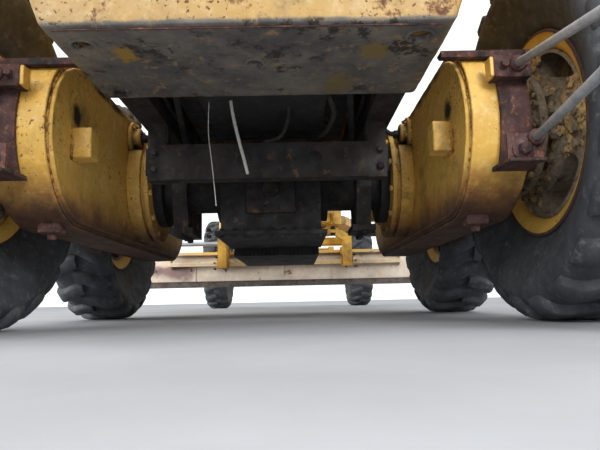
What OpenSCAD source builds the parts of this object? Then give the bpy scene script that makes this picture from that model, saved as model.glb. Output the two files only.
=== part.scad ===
// Motor grader with tandem drive, articulated frame and leaning front wheels.
// X points forward, Y to the left and Z up, in millimetres. The origin lies on the ground,
// under the middle of the overall length.

/* [Running gear] */
// Front axle to tandem centre
wheelbase = 5900; // [5700:10:6200]
// Centre distance of the two wheels of one tandem
tandem_base = 1525; // [1500:5:1600]
// Distance between left and right wheel centres
track = 2120; // [2060:10:2160]
// Tyre diameter over the lug tips
tyre_d = 1330; // [1300:10:1350]
// Tyre width at its widest
tyre_w = 330; // [310:5:350]
// Height of one tread lug
lug_h = 28; // [20:1:34]
// Rim seat diameter
rim_d = 640; // [620:5:660]
// Diameter of the rim's flanges
flange_d = 736; // [700:4:744]
// Distance between the outer faces of the rim's flanges
flange_w = 156; // [146:2:170]
// Steering lock each way is set in the record; distance of the kingpin inboard of the wheel centre
kingpin_in = 200; // [180:5:210]
// Height of the wheel lean pivot above the ground
lean_z = 545; // [520:5:570]
// Height between the lean pivot and the lean bar's pins
lean_arm = 320; // [290:5:340]

/* [Tandem cases] */
// Radius of the rounded ends
case_r = 300; // [280:5:310]
// Clearance between a case and the tyre's sidewall
case_gap = 55; // [40:5:70]
// Width of a case with its inner plate
case_w = 190; // [170:5:195]
// Radius of the wheel hub carrier
hub_r = 205; // [185:5:215]
// Radius of the axle tubes
tube_r = 125; // [110:5:140]
// Radius of the flange that carries a tandem case
ring_r = 262; // [240:2:275]

/* [Rear frame] */
// Distance from the tandem centre to the counterweight's rear face
counter_reach = 1459; // [1400:1:1480]
// Length of the counterweight
counter_l = 498; // [450:1:520]
// Half width of the counterweight's underside
counter_half = 506; // [480:1:520]
// Height of the counterweight's underside
counter_z = 755; // [740:5:780]
// Outside half width over the frame rails
rail_half = 500; // [480:5:503]
// Width of one frame rail
rail_w = 100; // [80:5:120]
// Underside height of the frame rails
rail_z = 800; // [780:5:820]
// Top height of the frame rails
rail_top = 1050; // [1000:10:1080]
// Distance from the tandem centre back to the mud flaps' rear face
rear_reach = 1750; // [1740:5:1800]
// Outside diameter of the mudguard stay pipes
stay_d = 24; // [21:1:30]

/* [Hood] */
// Half width of the engine hood
hood_half = 560; // [540:5:580]
// Top height of the hood
hood_top = 2030; // [1950:10:2100]
// Thickness of the hood's walls
hood_wall = 20; // [15:1:30]

/* [Cab] */
// Length of the cab
cab_l = 1400; // [1350:10:1450]
// Half width of the cab
cab_half = 650; // [620:5:700]
// Underside height of the cab
cab_z = 1270; // [1260:5:1300]
// Height of the roof's top
cab_top = 3250; // [3150:10:3350]
// Thickness of the cab's walls and doors
cab_wall = 50; // [40:1:60]
// Thickness of a window pane
glass_t = 6; // [5:1:8]
// Gap round each door
door_gap = 6; // [5:0.5:8]

/* [Front frame] */
// Distance from the tandem centre to the articulation pin
hinge_fwd = 2350; // [2320:5:2400]
// Half width of the gooseneck
neck_half = 150; // [130:5:160]
// Depth of the gooseneck's box section
neck_h = 300; // [260:5:320]
// Height of the gooseneck's top over the circle
neck_top = 2000; // [1950:10:2050]
// Front axle to the front of the bumper
front_reach = 870; // [850:5:900]

/* [Blade] */
// Moldboard length
blade_l = 3710; // [3400:10:3720]
// Sweep of the moldboard's curve in degrees
blade_sweep = 93; // [80:1:95]
// Radius of the moldboard's curve
blade_r = 262; // [250:2:280]
// Thickness of the moldboard plate
blade_t = 19; // [16:1:25]
// Height of the cutting edge above the ground
edge_z = 245; // [220:1:255]
// Height of the cutting edge
edge_h = 100; // [80:5:110]
// Distance from the articulation pin to the circle centre
circle_fwd = 1050; // [1030:10:1100]
// Distance of the blade arms' feet from the centre plane
foot_y = 640; // [620:5:700]
// Outside radius of the circle
circle_r = 720; // [700:5:740]
// Inside radius of the circle
circle_in = 610; // [590:5:630]

/* [Hidden] */
$fn = 96;

// Colours
YELLOW = "goldenrod";
DARK = "dimgray";
RUST = "saddlebrown";
RUBBER = "black";
STEEL = "silver";

// Stations along the machine
total_l = rear_reach + wheelbase + front_reach;
xt = rear_reach - total_l / 2;
xr = xt - tandem_base / 2;
xm = xt + tandem_base / 2;
xf = xt + wheelbase;
xh = xt + hinge_fwd;
xc = xh + circle_fwd;
x_end = total_l / 2;
zc = tyre_d / 2;
// Tandem case
case_z = zc - 15;
case_out = track / 2 - tyre_w / 2 - case_gap;
case_in = case_out - case_w;
plate_t = 12;
// Counterweight
counter_back = xt - counter_reach;
counter_front = counter_back + counter_l;
counter_wide = counter_half + 94;
// Cab
cab_back = xt + 650;
cab_front = cab_back + cab_l;
// Running and guide clearances
fit = 0.1;
guide = 1;
// Articulation pin
hinge_low = 880;
hinge_high = 1250;
ear_t = 40;
hinge_gap = 6;
pin_d = 80;
// Blade group
ring_z = 860;
ring_h = 90;
ball_x = xf - 360;
ball_z = 870;
lift_x = xc - 160;
lift_y = 590;
shift_x = xc - 330;
bar_z = [ring_z + ring_h + guide, ring_z + ring_h + 91];
yoke_y = track / 2 - kingpin_in - 200;
king_y = track / 2 - kingpin_in;
lean_x = xf + 140;
bar_high = lean_z + lean_arm;

// A box between two corners
module box(x, y, z) {
    translate([x[0], y[0], z[0]]) cube([x[1] - x[0], y[1] - y[0], z[1] - z[0]]);
}

// An outline in X and Z, extruded from y[0] to y[1]
module slab(points, y) {
    translate([0, y[1], 0]) rotate([90, 0, 0]) linear_extrude(y[1] - y[0]) polygon(points);
}

// An outline in Y and Z, extruded from x[0] to x[1]
module frame_of(points, x) {
    translate([x[0], 0, 0]) rotate([90, 0, 90]) linear_extrude(x[1] - x[0]) polygon(points);
}

// A round bar along Y
module round_y(x, z, r, y) {
    translate([x, y[1], z]) rotate([90, 0, 0]) cylinder(r = r, h = y[1] - y[0]);
}

// A round bar along X
module round_x(y, z, r, x) {
    translate([x[0], y, z]) rotate([0, 90, 0]) cylinder(r = r, h = x[1] - x[0]);
}

// A round bar along Z
module round_z(x, y, r, z) {
    translate([x, y, z[0]]) cylinder(r = r, h = z[1] - z[0]);
}

// A round bar from point a to point b
module bar(a, b, r) {
    d = b - a;
    l = norm(d);
    translate(a) rotate([0, acos(d[2] / l), atan2(d[1], d[0])]) cylinder(r = r, h = l);
}

// A hydraulic barrel from l[0] to l[1] along u, with a gland round its rod
module ram_barrel(a, u, r, bore, rod, l) difference() {
    bar(a + u * l[0], a + u * l[1], r);
    bar(a + u * (l[0] + 20), a + u * (l[1] - 30), bore);
    bar(a + u * (l[1] - 31), a + u * (l[1] + 1), rod + fit);
}

// Its rod from the piston at l[0] to l[1]
module ram_rod(a, u, bore, rod, l) {
    bar(a + u * l[0], a + u * (l[0] + 35), bore - fit);
    bar(a + u * (l[0] + 34), a + u * l[1], rod);
}

// The children and their mirror image across the centre plane
module both() {
    children();
    mirror([0, 1, 0]) children();
}

// The children on the left side, or mirrored to the right side
module side(s) {
    if (s > 0) children();
    else mirror([0, 1, 0]) children();
}

// Main frame of the rear half, with the crossmember and the articulation ears
box_front = xh - 360;
rail_front = xh - 840;
module rear_frame() color(YELLOW) difference() {
    union() {
        both() {
            box([counter_front, rail_front], [rail_half - rail_w, rail_half], [rail_z, rail_top]);
            box([xt - 560, xt - 480], [400, 475], [570, rail_z]);
            hanger();
            box([rail_front, box_front], [rail_half - 260, rail_half], [hinge_low, rail_top]);
            steps();
        }
        box([xt - 560, xt - 480], [-475, 475], [573, 715]);
        box([counter_front, counter_front + 60], [-rail_half + rail_w, rail_half - rail_w],
            [900, rail_top]);
        box([box_front - 80, box_front + 100], [-rail_half, rail_half], [hinge_low, hinge_high]);
        box([rail_front, rail_front + 80], [-rail_half + 260, rail_half - 260],
            [hinge_low, rail_top]);
        box([box_front, xh], [-190, 190], [hinge_low, hinge_low + ear_t]);
        box([box_front, xh], [-190, 190], [hinge_high - ear_t, hinge_high]);
        round_z(xh, 0, 120, [hinge_low, hinge_low + ear_t]);
        round_z(xh, 0, 120, [hinge_high - ear_t, hinge_high]);
        both() artic_lug();
        box([cab_back + 80, cab_back + 160], [-rail_half, rail_half], [rail_top, cab_z]);
        box([box_front - 80, box_front], [-rail_half, rail_half], [hinge_high, cab_z]);
    }
    round_z(xh, 0, pin_d / 2, [hinge_low - 1, hinge_high + 1]);
    both() round_y(xt, case_z, tube_r + guide, [380, 520]);
    both() box([box_front - 81, box_front + 101], [285, 480], [1055, 1175]);
}

// Saddle that hangs one rail on the axle tube
module hanger() {
    slab([[xt - 150, rail_z + 5], [xt - 150, 700], [xt - 165, 610], [xt - 105, 430], [xt + 105, 430],
        [xt + 165, 610], [xt + 150, 700], [xt + 150, rail_z + 5]], [396, 466]);
    box([xt - 120, xt + 120], [376, 486], [412, 440]);
}

// Ladder up to the cab on one side
module steps() {
    for (z = [560, 780])
        box([xt + 1290, xt + 1500], [600, 830], [z, z + 25]);
    box([xt + 1290, xt + 1500], [rail_half, 830], [1000, 1025]);
    for (x = [xt + 1290, xt + 1485])
        box([x, x + 15], [600, 640], [560, cab_z]);
}

artic_a = [xh - 660, 440, 1115];
artic_b = [xh + 180, 300, 1115];
module artic_lug() {
    box([artic_a[0] - 60, artic_a[0] + 34], [380, rail_half], [rail_top, 1080]);
    round_z(artic_a[0], artic_a[1], 25, [1080, 1155]);
}

counter_holes = [[103, 435, 28], [79, -434, 30], [432, 441, 24], [225, 0, 20]];
// Counterweight with its underside plate, holes and towing lug
module counterweight() color(YELLOW) difference() {
    frame_of([[-counter_half, counter_z], [counter_half, counter_z],
        [counter_wide, counter_z + 255], [counter_wide, rail_top],
        [-counter_wide, rail_top], [-counter_wide, counter_z + 255]],
        [counter_back, counter_front]);
    for (p = counter_holes)
        round_z(counter_back + p[0], p[1], p[2], [counter_z - 1, counter_z + 120]);
}

module engine_block() color(DARK)
    box([counter_front + 60, xt - 120], [-330, 330], [850, 1700]);

// Final drive, transmission and the axle tubes out to the tandem cases
module drive_case() color(DARK) {
    box([xt - 300, xt + 350], [-220, 220], [395, 850]);
    box([xt - 315, xt + 365], [-246, 246], [378, 395]);
    box([xt + 350, xt + 1250], [-234, 234], [338, 870]);
    both() {
        round_y(xt, case_z, 175, [219, 262]);
        round_y(xt, case_z, tube_r, [260, 550]);
        round_y(xt, case_z, 190, [510, 552]);
    }
}

// Bolted flanges on the axle's ends, which the tandem cases turn on
module case_flanges() color(YELLOW) both() {
    round_y(xt, case_z, ring_r, [552, 574]);
    difference() {
        union() {
            round_y(xt, case_z, ring_r - 22, [573, 590]);
            round_y(xt, case_z, ring_r, [589, case_in - 1]);
        }
        round_y(xt - 175, boss_z, 78 + fit, [580, case_in + 5]);
    }
    for (i = [0:11]) rotate_at(xt, case_z, i * 30 + 15)
        round_y(ring_r - 24, 0, 13, [540, 553]);
}
boss_z = case_z + 205;
module rotate_at(x, z, a) translate([x, 0, z]) rotate([0, a, 0]) children();

hood_back = counter_back + 59;
hood_front = cab_back - 20;
function hood_outline(in) = [[-hood_half + in, rail_top], [-hood_half + in, hood_top - 230],
    [-hood_half + 160 + in * 0.5, hood_top - in], [hood_half - 160 - in * 0.5, hood_top - in],
    [hood_half - in, hood_top - 230], [hood_half - in, rail_top]];
module hood() color(YELLOW) difference() {
    frame_of(hood_outline(0), [hood_back, hood_front]);
    translate([0, 0, -1]) frame_of(hood_outline(hood_wall), [hood_back - 1, hood_front - hood_wall]);
}

// Radiator grille at the back
module rear_grille() color(DARK) difference() {
    frame_of(hood_outline(0), [hood_back - 30, hood_back]);
    for (i = [0:11])
        box([hood_back - 31, hood_back + 1], [-430, 430],
            [rail_top + 70 + i * 65, rail_top + 105 + i * 65]);
}

module exhaust() color(DARK) {
    round_z(xt - 150, 250, 90, [hood_top, hood_top + 420]);
    round_z(xt - 150, 250, 38, [hood_top + 420, hood_top + 760]);
    round_z(xt - 500, -220, 60, [hood_top, hood_top + 260]);
    round_z(xt - 500, -220, 120, [hood_top + 260, hood_top + 420]);
}

// A tandem chain case with its plates, boss, stops, hub carriers and walkway
module stadium(r, y) {
    round_y(xr, case_z, r, y);
    round_y(xm, case_z, r, y);
    box([xr, xm], y, [case_z - r, case_z + r]);
}
module tandem_cases() color(YELLOW) both() {
    stadium(case_r, [case_in + plate_t, case_out]);
    stadium(case_r - 22, [case_in, case_in + plate_t]);
    for (x = [xt - 877, xt + 797])
        box([x, x + 80], [case_in - 70, case_in], [585, 692]);
    round_y(xt - 175, boss_z, 78, [case_in - 18, case_in + 1]);
    round_y(xt - 175, boss_z, 48, [case_in - 48, case_in - 17]);
    box([xr - 95, xr - 30], [case_in + 40, case_in + 115], [case_z - case_r - 18, case_z - case_r + 30]);
    for (x = [xr, xm]) {
        round_y(x, zc, hub_r, [case_out - 1, case_out + 112]);
        round_y(x, zc, shaft_r, [case_out + 111, track / 2 + 98]);
    }
}
shaft_r = 70;

// Straps and lugs on the round ends of the cases, which carry the mudguard stays
lug_up = [xt - 1100, case_in + 145, 795];
lug_down = [xt - 1150, case_in + 162, 545];
module tandem_brackets() color(RUST) both() difference() {
    union() {
        difference() {
            round_y(xr, case_z, case_r + 14, [case_in + 95, case_out - 2]);
            box([xr - 240, xr + 400], [case_in + 90, case_out], [case_z - 400, case_z + 400]);
            box([xr - 400, xr], [case_in + 90, case_out], [case_z - 400, 480]);
        }
        box([lug_up[0], lug_up[0] + 12], [case_in + 75, case_out - 2], [755, 822]);
        box([lug_up[0], xr - 200], [case_in + 75, case_out - 2], [755, 767]);
        box([lug_up[0], xr - 180], [case_out - 16, case_out - 2], [755, 838]);
        box([xt - 1005, xt - 940], [case_in - 60, case_out + 40], [862, 884]);
        box([xt - 1005, xt - 940], [case_out - 60, case_out - 20], [800, 865]);
        box([lug_down[0], lug_down[0] + 12], [case_in + 78, case_out - 4], [478, 560]);
        box([lug_down[0], xr - 180], [case_in + 78, case_out - 4], [478, 490]);
    }
    round_y(xr, case_z, case_r, [case_in - 70, case_out + 20]);
}

// Bent pipes that carry the mud flaps behind the rear tyres
flap_front = xt - rear_reach + 12;
stay_x = flap_front + stay_d / 2 + 1;
module mudguard_stays() color(STEEL) both() {
    for (p = [[lug_up, [stay_x, case_in + 64, 635]], [lug_down, [stay_x, case_in + 50, 511]]]) {
        bar(p[0] + 4 * (p[1] - p[0]) / norm(p[1] - p[0]), p[1], stay_d / 2);
        translate(p[1]) sphere(r = stay_d / 2 + 1);
        bar(p[1], [stay_x, track / 2 + 155, p[1][2]], stay_d / 2);
    }
}

module mud_flaps() color(RUBBER) both()
    box([xt - rear_reach, flap_front + 1], [track / 2 - 165, track / 2 + 165], [230, 680]);

// Cab shell with its posts, floor and roof; windows and doorways are cut out
sill_z = cab_z + 130;
door_top = cab_top - 250;
post = 110;
module cab_shell() color(YELLOW) {
    difference() {
        box([cab_back, cab_front], [-cab_half, cab_half], [cab_z, cab_top - 120]);
        box([cab_back + cab_wall, cab_front - cab_wall],
            [-cab_half + cab_wall, cab_half - cab_wall], [cab_z + 40, cab_top - 121]);
        box([cab_back + post, cab_front - post], [-cab_half - 1, cab_half + 1],
            [sill_z, door_top]);
        for (w = front_panes) box([cab_front - cab_wall - 1, cab_front + 1], w[0], w[1]);
        for (w = rear_panes) box([cab_back - 1, cab_back + cab_wall + 1], w[0], w[1]);
    }
    box([cab_back - 40, cab_front + 120], [-cab_half - 20, cab_half + 20],
        [cab_top - 121, cab_top]);
    both() for (z = hinge_zs) {
        round_z(door_pin[0], door_pin[1], 7, [z - 30, z + 60]);
        box([door_pin[0] - 50, door_pin[0] - 3], [cab_half - 1, cab_half + 21], [z - 30, z - 2]);
        box([door_pin[0] - 4, door_pin[0] + 7], [cab_half + 3, cab_half + 21], [z - 30, z - 2]);
    }
}
front_panes = [[[-cab_half + post, cab_half - post], [2000, door_top]],
    [[-cab_half + post, -140], [1420, 1940]], [[140, cab_half - post], [1420, 1940]]];
rear_panes = [[[-cab_half + post, cab_half - post], [2100, door_top]]];

module cab_glass() color("lightsteelblue") {
    for (w = front_panes)
        box([cab_front - cab_wall / 2 - glass_t / 2, cab_front - cab_wall / 2 + glass_t / 2],
            w[0], w[1]);
    for (w = rear_panes)
        box([cab_back + cab_wall / 2 - glass_t / 2, cab_back + cab_wall / 2 + glass_t / 2],
            w[0], w[1]);
}

// One door with its window opening, hinged at the cab's rear post
door_x = [cab_back + post + door_gap, cab_front - post - door_gap];
door_z = [sill_z + door_gap, door_top - door_gap];
door_win = [[door_x[0] + 80, door_x[1] - 80], [door_z[0] + 560, door_z[1] - 80]];
door_low = [[door_x[0] + 300, door_x[1] - 80], [door_z[0] + 80, door_z[0] + 500]];
door_pin = [door_x[0] - 3, cab_half + 14];
hinge_zs = [door_z[0] + 120, door_z[1] - 220];
module door(s) color(YELLOW) side(s) difference() {
    union() {
        box(door_x, [cab_half - cab_wall + 10, cab_half], door_z);
        for (z = hinge_zs) {
            round_z(door_pin[0], door_pin[1], 13, [z, z + 60]);
            box([door_pin[0], door_x[0] + 50], [cab_half, cab_half + 8], [z, z + 60]);
        }
    }
    for (z = hinge_zs) round_z(door_pin[0], door_pin[1], 7 + fit, [z - 1, z + 61]);
    for (w = [door_win, door_low]) box(w[0], [cab_half - cab_wall, cab_half + 1], w[1]);
}
module door_glass(s) color("lightsteelblue") side(s)
    for (w = [door_win, door_low])
        box(w[0], [cab_half - 23, cab_half - 23 + glass_t], w[1]);

module seat() color("black") {
    box([cab_back + 230, cab_back + 420], [-200, 200], [cab_z + 40, cab_z + 330]);
    box([cab_back + 180, cab_back + 680], [-250, 250], [cab_z + 330, cab_z + 450]);
    slab([[cab_back + 180, cab_z + 450], [cab_back + 300, cab_z + 450],
        [cab_back + 220, cab_z + 1080], [cab_back + 120, cab_z + 1080]], [-240, 240]);
}

// Pedestal with the steering wheel and the blade levers
module controls() color("black") {
    slab([[cab_front - 320, cab_z + 40], [cab_front - 90, cab_z + 40],
        [cab_front - 140, cab_z + 700], [cab_front - 260, cab_z + 700]], [-200, 200]);
    translate([cab_front - 330, 0, cab_z + 830]) rotate([0, -35, 0]) {
        difference() {
            translate([0, 0, -14]) cylinder(r = 205, h = 28);
            translate([0, 0, -20]) cylinder(r = 177, h = 40);
        }
        translate([-15, -190, -8]) cube([30, 380, 16]);
        translate([0, 0, -230]) cylinder(r = 26, h = 240);
    }
    for (s = [-1, 1]) for (i = [0:3])
        round_z(cab_front - 235, s * (75 + i * 34), 7, [cab_z + 690, cab_z + 870 + i * 6]);
}

// Vinyl drain hose that hangs from the engine
hose_d = 12;
hose_path = [[-800, 118, 850], [-800, 118, 825], [-800, 116, 800], [-799, 113, 775],
    [-799, 109, 750], [-798, 104, 725], [-798, 99, 700], [-798, 93, 675], [-798, 87, 650],
    [-798, 81, 625], [-799, 74, 600], [-799, 68, 575], [-800, 62, 550], [-800, 58, 534]];
module tube(path, r, sides) {
    n = len(path);
    points = [for (i = [0:n - 1]) let (
        a = path[max(i - 1, 0)], b = path[min(i + 1, n - 1)],
        t = (b - a) / norm(b - a), u = cross(t, [1, 0, 0]) / norm(cross(t, [1, 0, 0])),
        v = cross(t, u))
        for (k = [0:sides - 1]) path[i] + r * (cos(k * 360 / sides) * u + sin(k * 360 / sides) * v)];
    faces = concat(
        [[for (k = [0:sides - 1]) k]],
        [[for (k = [sides - 1:-1:0]) (n - 1) * sides + k]],
        [for (i = [0:n - 2]) for (k = [0:sides - 1])
            [i * sides + k, (i + 1) * sides + k, (i + 1) * sides + (k + 1) % sides,
                i * sides + (k + 1) % sides]]);
    polyhedron(points, faces, convexity = 4);
}
module drain_hose() color("whitesmoke")
    tube([for (p = hose_path) [xt + p[0], p[1], p[2]]], hose_d / 2, 8);

module rear_lamps() color("firebrick") both()
    box([counter_back - 30, counter_back], [counter_half - 60, counter_half + 60],
        [rail_top - 120, rail_top - 40]);

// Gooseneck frame from the articulation pin to the nose, with the lift saddle
neck_fall = xf - 1250;
nose_z = 960;
shift_a = [shift_x, -330, 1722];
module front_frame() color(YELLOW) difference() {
    union() {
        slab([[xh + 130, hinge_low + 60], [xh + 130, hinge_high - 60],
            [xh + 250, neck_top], [neck_fall, neck_top],
            [xf - 150, nose_z + 330], [x_end - 50, nose_z + 200],
            [x_end - 50, nose_z - 130], [xf + 160, nose_z], [xf - 420, nose_z + 60],
            [neck_fall - 90, neck_top - neck_h], [xh + 480, neck_top - neck_h],
            [xh + 240, hinge_low + 60]], [-neck_half, neck_half]);
        box([xh, xh + 150], [-110, 110], [hinge_low + ear_t + hinge_gap,
            hinge_high - ear_t - hinge_gap]);
        round_z(xh, 0, 110, [hinge_low + ear_t + hinge_gap, hinge_high - ear_t - hinge_gap]);
        round_z(xh, 0, pin_d / 2 - fit, [hinge_low - 10, hinge_high + 12]);
        box([x_end - 50, x_end], [-460, 460], [760, 1180]);
        // lift saddle
        box([lift_x - 90, lift_x + 90], [-lift_y + 75, lift_y - 75], [neck_top, neck_top + 60]);
        both() {
            box([lift_x - 60, lift_x + 60], [lift_y - 130, lift_y - 75],
                [neck_top - 180, neck_top + 60]);
            round_y(lift_x, neck_top - 120, 25, [lift_y - 80, lift_y - 50]);
            box([artic_b[0] - 50, artic_b[0] + 50], [neck_half - 50, artic_b[1] + 40], [1050, 1080]);
        }
        // centre shift bracket
        box([shift_x + 52, shift_x + 72], [shift_a[1] - 45, -neck_half + 1], [1680, 1850]);
        round_x(shift_a[1], shift_a[2], 15, [shift_x - 22, shift_x + 57]);
        // axle bolster and drawbar ball socket
        box([xf - 90, xf + 90], [-neck_half, neck_half], [780, nose_z + 60]);
        box([ball_x - 5, xf - 89], [-90, 90], [ball_z - 85, nose_z + 100]);
    }
    translate([ball_x, 0, ball_z]) sphere(r = 60 + fit);
}

module head_lamps() color("white") both() {
    round_x(360, 1268, 68, [x_end - 90, x_end - 4]);
    box([x_end - 46, x_end - 6], [345, 375], [1180, 1206]);
}

// Front axle beam on its oscillation pin, with the lean pivots at its ends
lean_a = [xf + 220, 250, 740];
module front_axle() color(YELLOW) {
    frame_of([[-yoke_y + 85, lean_z - 70], [-300, 600], [300, 600], [yoke_y - 85, lean_z - 70],
        [yoke_y - 85, lean_z + 90], [300, 780], [-300, 780], [-yoke_y + 85, lean_z + 90]],
        [xf - 80, xf + 80]);
    both() {
        box([xf - 80, xf - 50], [yoke_y - 86, yoke_y + 50], [lean_z - 50, lean_z + 50]);
        box([xf + 50, xf + 80], [yoke_y - 86, yoke_y + 50], [lean_z - 50, lean_z + 50]);
        round_x(yoke_y, lean_z, 22, [xf - 81, xf + 81]);
    }
    box([xf + 79, xf + 199], [lean_a[1] - 30, lean_a[1] + 30], [lean_a[2] - 40, 780]);
    round_x(lean_a[1], lean_a[2], 15, [xf + 198, xf + 240]);
}

// A-frame drawbar from the front ball to the ring guide above the circle
module drawbar() color(YELLOW) {
    translate([ball_x, 0, ball_z]) sphere(r = 60);
    bar([ball_x, 0, ball_z], [ball_x - 170, 0, ball_z + 5], 34);
    slab([[ball_x - 160, ball_z - 35], [ball_x - 160, ball_z + 45], [xc + 800, bar_z[1]],
        [xc + 800, bar_z[0]]], [-50, 50]);
    box([xc + 600, xc + 800], [-510, 510], bar_z);
    box([xc - 560, xc - 460], [-510, 510], bar_z);
    both() {
        box([xc - 560, xc + 800], [410, 510], bar_z);
        translate([0, 0, bar_z[0]]) linear_extrude(bar_z[1] - bar_z[0])
            polygon([[ball_x - 420, 20], [ball_x - 420, 60], [xc + 790, 510], [xc + 790, 390]]);
        // lift lugs
        box([lift_x - 50, lift_x + 50], [509, lift_y - 40], [bar_z[0] + 20, bar_z[1]]);
        box([lift_x - 50, lift_x + 50], [lift_y - 60, lift_y - 40], [bar_z[0], 1110]);
    }
    // circle clamps
    for (a = [45, 135, 225, 315]) intersection() {
        translate([xc, 0, 0]) rotate([0, 0, a]) box([circle_r - 200, circle_r + 50], [-60, 60],
            [ring_z - 40, bar_z[1]]);
        difference() {
            round_z(xc, 0, circle_r + 40, [ring_z - 14, bar_z[1]]);
            round_z(xc, 0, circle_r + guide, [ring_z - guide, ring_z + ring_h + guide]);
            round_z(xc, 0, circle_r - 20, [ring_z - 50, ring_z + ring_h + guide]);
        }
    }
    // centre shift lug
    box([shift_x + 45, shift_x + 65], [350, 460], [bar_z[1] - 1, bar_z[1] + 150]);
}

// Turning circle with its two splayed blade arms and the side shift cylinder
roll_x = xc + blade_r + blade_t - 250;
roll_z = edge_z + 0.65 * edge_h + blade_r * sin(8);
function back_x(z) = roll_x - sqrt(pow(blade_r + blade_t, 2) - pow(z - roll_z, 2));
low_rail = [[xc - 330, back_x(482) + 8], [462, 502]];
high_rail = [[xc - 230, back_x(600) + 8], [585, 615]];
ram_x = xc - 215;
ram_z = 702;
rail_l = 1200;
module clamp_block(r, back, front) difference() {
    box([back, front], [foot_y - 60, foot_y + 60], [r[1][0] - 24, r[1][1] + 24]);
    box([r[0][0] - guide, front + 1], [foot_y - 61, foot_y + 61], [r[1][0] - guide, r[1][1] + guide]);
}
module circle_ring() color(YELLOW) {
    difference() {
        round_z(xc, 0, circle_r, [ring_z, ring_z + ring_h]);
        round_z(xc, 0, circle_in, [ring_z - 1, ring_z + ring_h + 1]);
    }
    both() {
        frame_of([[440, ring_z + 1], [535, ring_z + 1], [535, ring_z - 30], [foot_y + 45, 735],
            [foot_y + 45, 690], [foot_y - 45, 690], [440, ring_z - 60]], [xc - 430, xc - 350]);
        slab([[xc - 430, 430], [xc - 350, 430], [xc - 350, 530], [xc - 250, 565], [xc - 250, 650],
            [xc - 330, 740], [xc - 430, 740]], [foot_y - 45, foot_y + 45]);
        clamp_block(low_rail, xc - 360, xc - 280);
        clamp_block(high_rail, xc - 260, xc - 180);
    }
    box([xc - 340, ram_x], [-foot_y - 30, -foot_y + 30], [ram_z - 30, ram_z + 30]);
    ram_barrel([ram_x, -foot_y - 20, ram_z], [0, 1, 0], 45, 33, 22, [0, 1060]);
}

// Curved blade plate with its slide rails, rolled forward
module moldboard() color(YELLOW) {
    difference() {
        round_y(roll_x, roll_z, blade_r + blade_t, [-blade_l / 2, blade_l / 2]);
        round_y(roll_x, roll_z, blade_r, [-blade_l / 2 - 1, blade_l / 2 + 1]);
        slab([[roll_x, roll_z], [roll_x - 600, roll_z - 600 * tan(8)], [roll_x - 600, roll_z - 900],
            [roll_x + 600, roll_z - 900], [roll_x + 600, roll_z + 900],
            [roll_x - 600 * cos(blade_sweep - 8), roll_z + 600 * sin(blade_sweep - 8)]],
            [-blade_l, blade_l]);
    }
    for (r = [low_rail, high_rail]) box(r[0], [-rail_l, rail_l], r[1]);
    box([ram_x - 25, ram_x + 25], [rail_l - 45, rail_l - 5], [610, ram_z + 38]);
}

// Cutting edge bolted inside the moldboard's lower lip
edge_u = [sin(8), -cos(8)];
edge_n = [cos(8), sin(8)];
edge_a = [roll_x - blade_r * cos(8), roll_z - blade_r * sin(8)];
edge_b = edge_a - 0.34 * edge_h * edge_u;
edge_in = blade_r * (1 - cos(asin(0.34 * edge_h / blade_r)));
module cutting_edge() color(DARK)
    slab([edge_b + edge_in * edge_n, edge_b + (edge_in + 16) * edge_n,
        edge_a + 0.66 * edge_h * edge_u + 16 * edge_n, edge_a + 0.66 * edge_h * edge_u, edge_a],
        [-blade_l / 2, blade_l / 2]);

module side_shift_rod() color(STEEL)
    ram_rod([ram_x, -foot_y - 20, ram_z], [0, 1, 0], 33, 22, [560, foot_y + rail_l - 25]);

// Blade lift cylinders, one each side of the gooseneck
lift_top = neck_top - 120;
module lift_barrels() color(YELLOW) both() difference() {
    union() {
        ram_barrel([lift_x, lift_y, neck_top + 560], [0, 0, -1], 62, 46, 30, [0, 890]);
        box([lift_x - 45, lift_x + 45], [lift_y - 68, lift_y - 47], [lift_top - 45, lift_top + 45]);
    }
    round_y(lift_x, lift_top, 25 + fit, [lift_y - 80, lift_y - 49]);
}
module lift_rods() color(STEEL) both() {
    ram_rod([lift_x, lift_y, neck_top + 560], [0, 0, -1], 46, 30, [320, 1450]);
    round_y(lift_x, 1080, 42, [lift_y - 35, lift_y + 35]);
}

// Centre shift cylinder between the saddle and the drawbar
shift_b = [shift_x, 405, bar_z[1] + 100];
shift_u = (shift_b - shift_a) / norm(shift_b - shift_a);
module centre_shift_barrel() color(YELLOW) difference() {
    union() {
        ram_barrel(shift_a, shift_u, 48, 35, 25, [45, 640]);
        round_x(shift_a[1], shift_a[2], 46, [shift_x - 20, shift_x + 20]);
    }
    round_x(shift_a[1], shift_a[2], 15 + fit, [shift_x - 30, shift_x + 30]);
}
module centre_shift_rod() color(STEEL) {
    ram_rod(shift_a, shift_u, 35, 25, [275, norm(shift_b - shift_a)]);
    round_x(shift_b[1], shift_b[2], 38, [shift_x - 25, shift_x + 25]);
}

// Articulation cylinders between the two frames
artic_u = (artic_b - artic_a) / norm(artic_b - artic_a);
module articulation_barrel(s) color(YELLOW) side(s) difference() {
    union() {
        ram_barrel(artic_a, artic_u, 45, 33, 22, [45, 560]);
        round_z(artic_a[0], artic_a[1], 50, [1085, 1145]);
    }
    round_z(artic_a[0], artic_a[1], 25 + fit, [1080, 1150]);
}
module articulation_rod(s) color(STEEL) side(s) {
    ram_rod(artic_a, artic_u, 33, 22, [280, norm(artic_b - artic_a)]);
    round_z(artic_b[0], artic_b[1], 40, [1085, 1145]);
}

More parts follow.
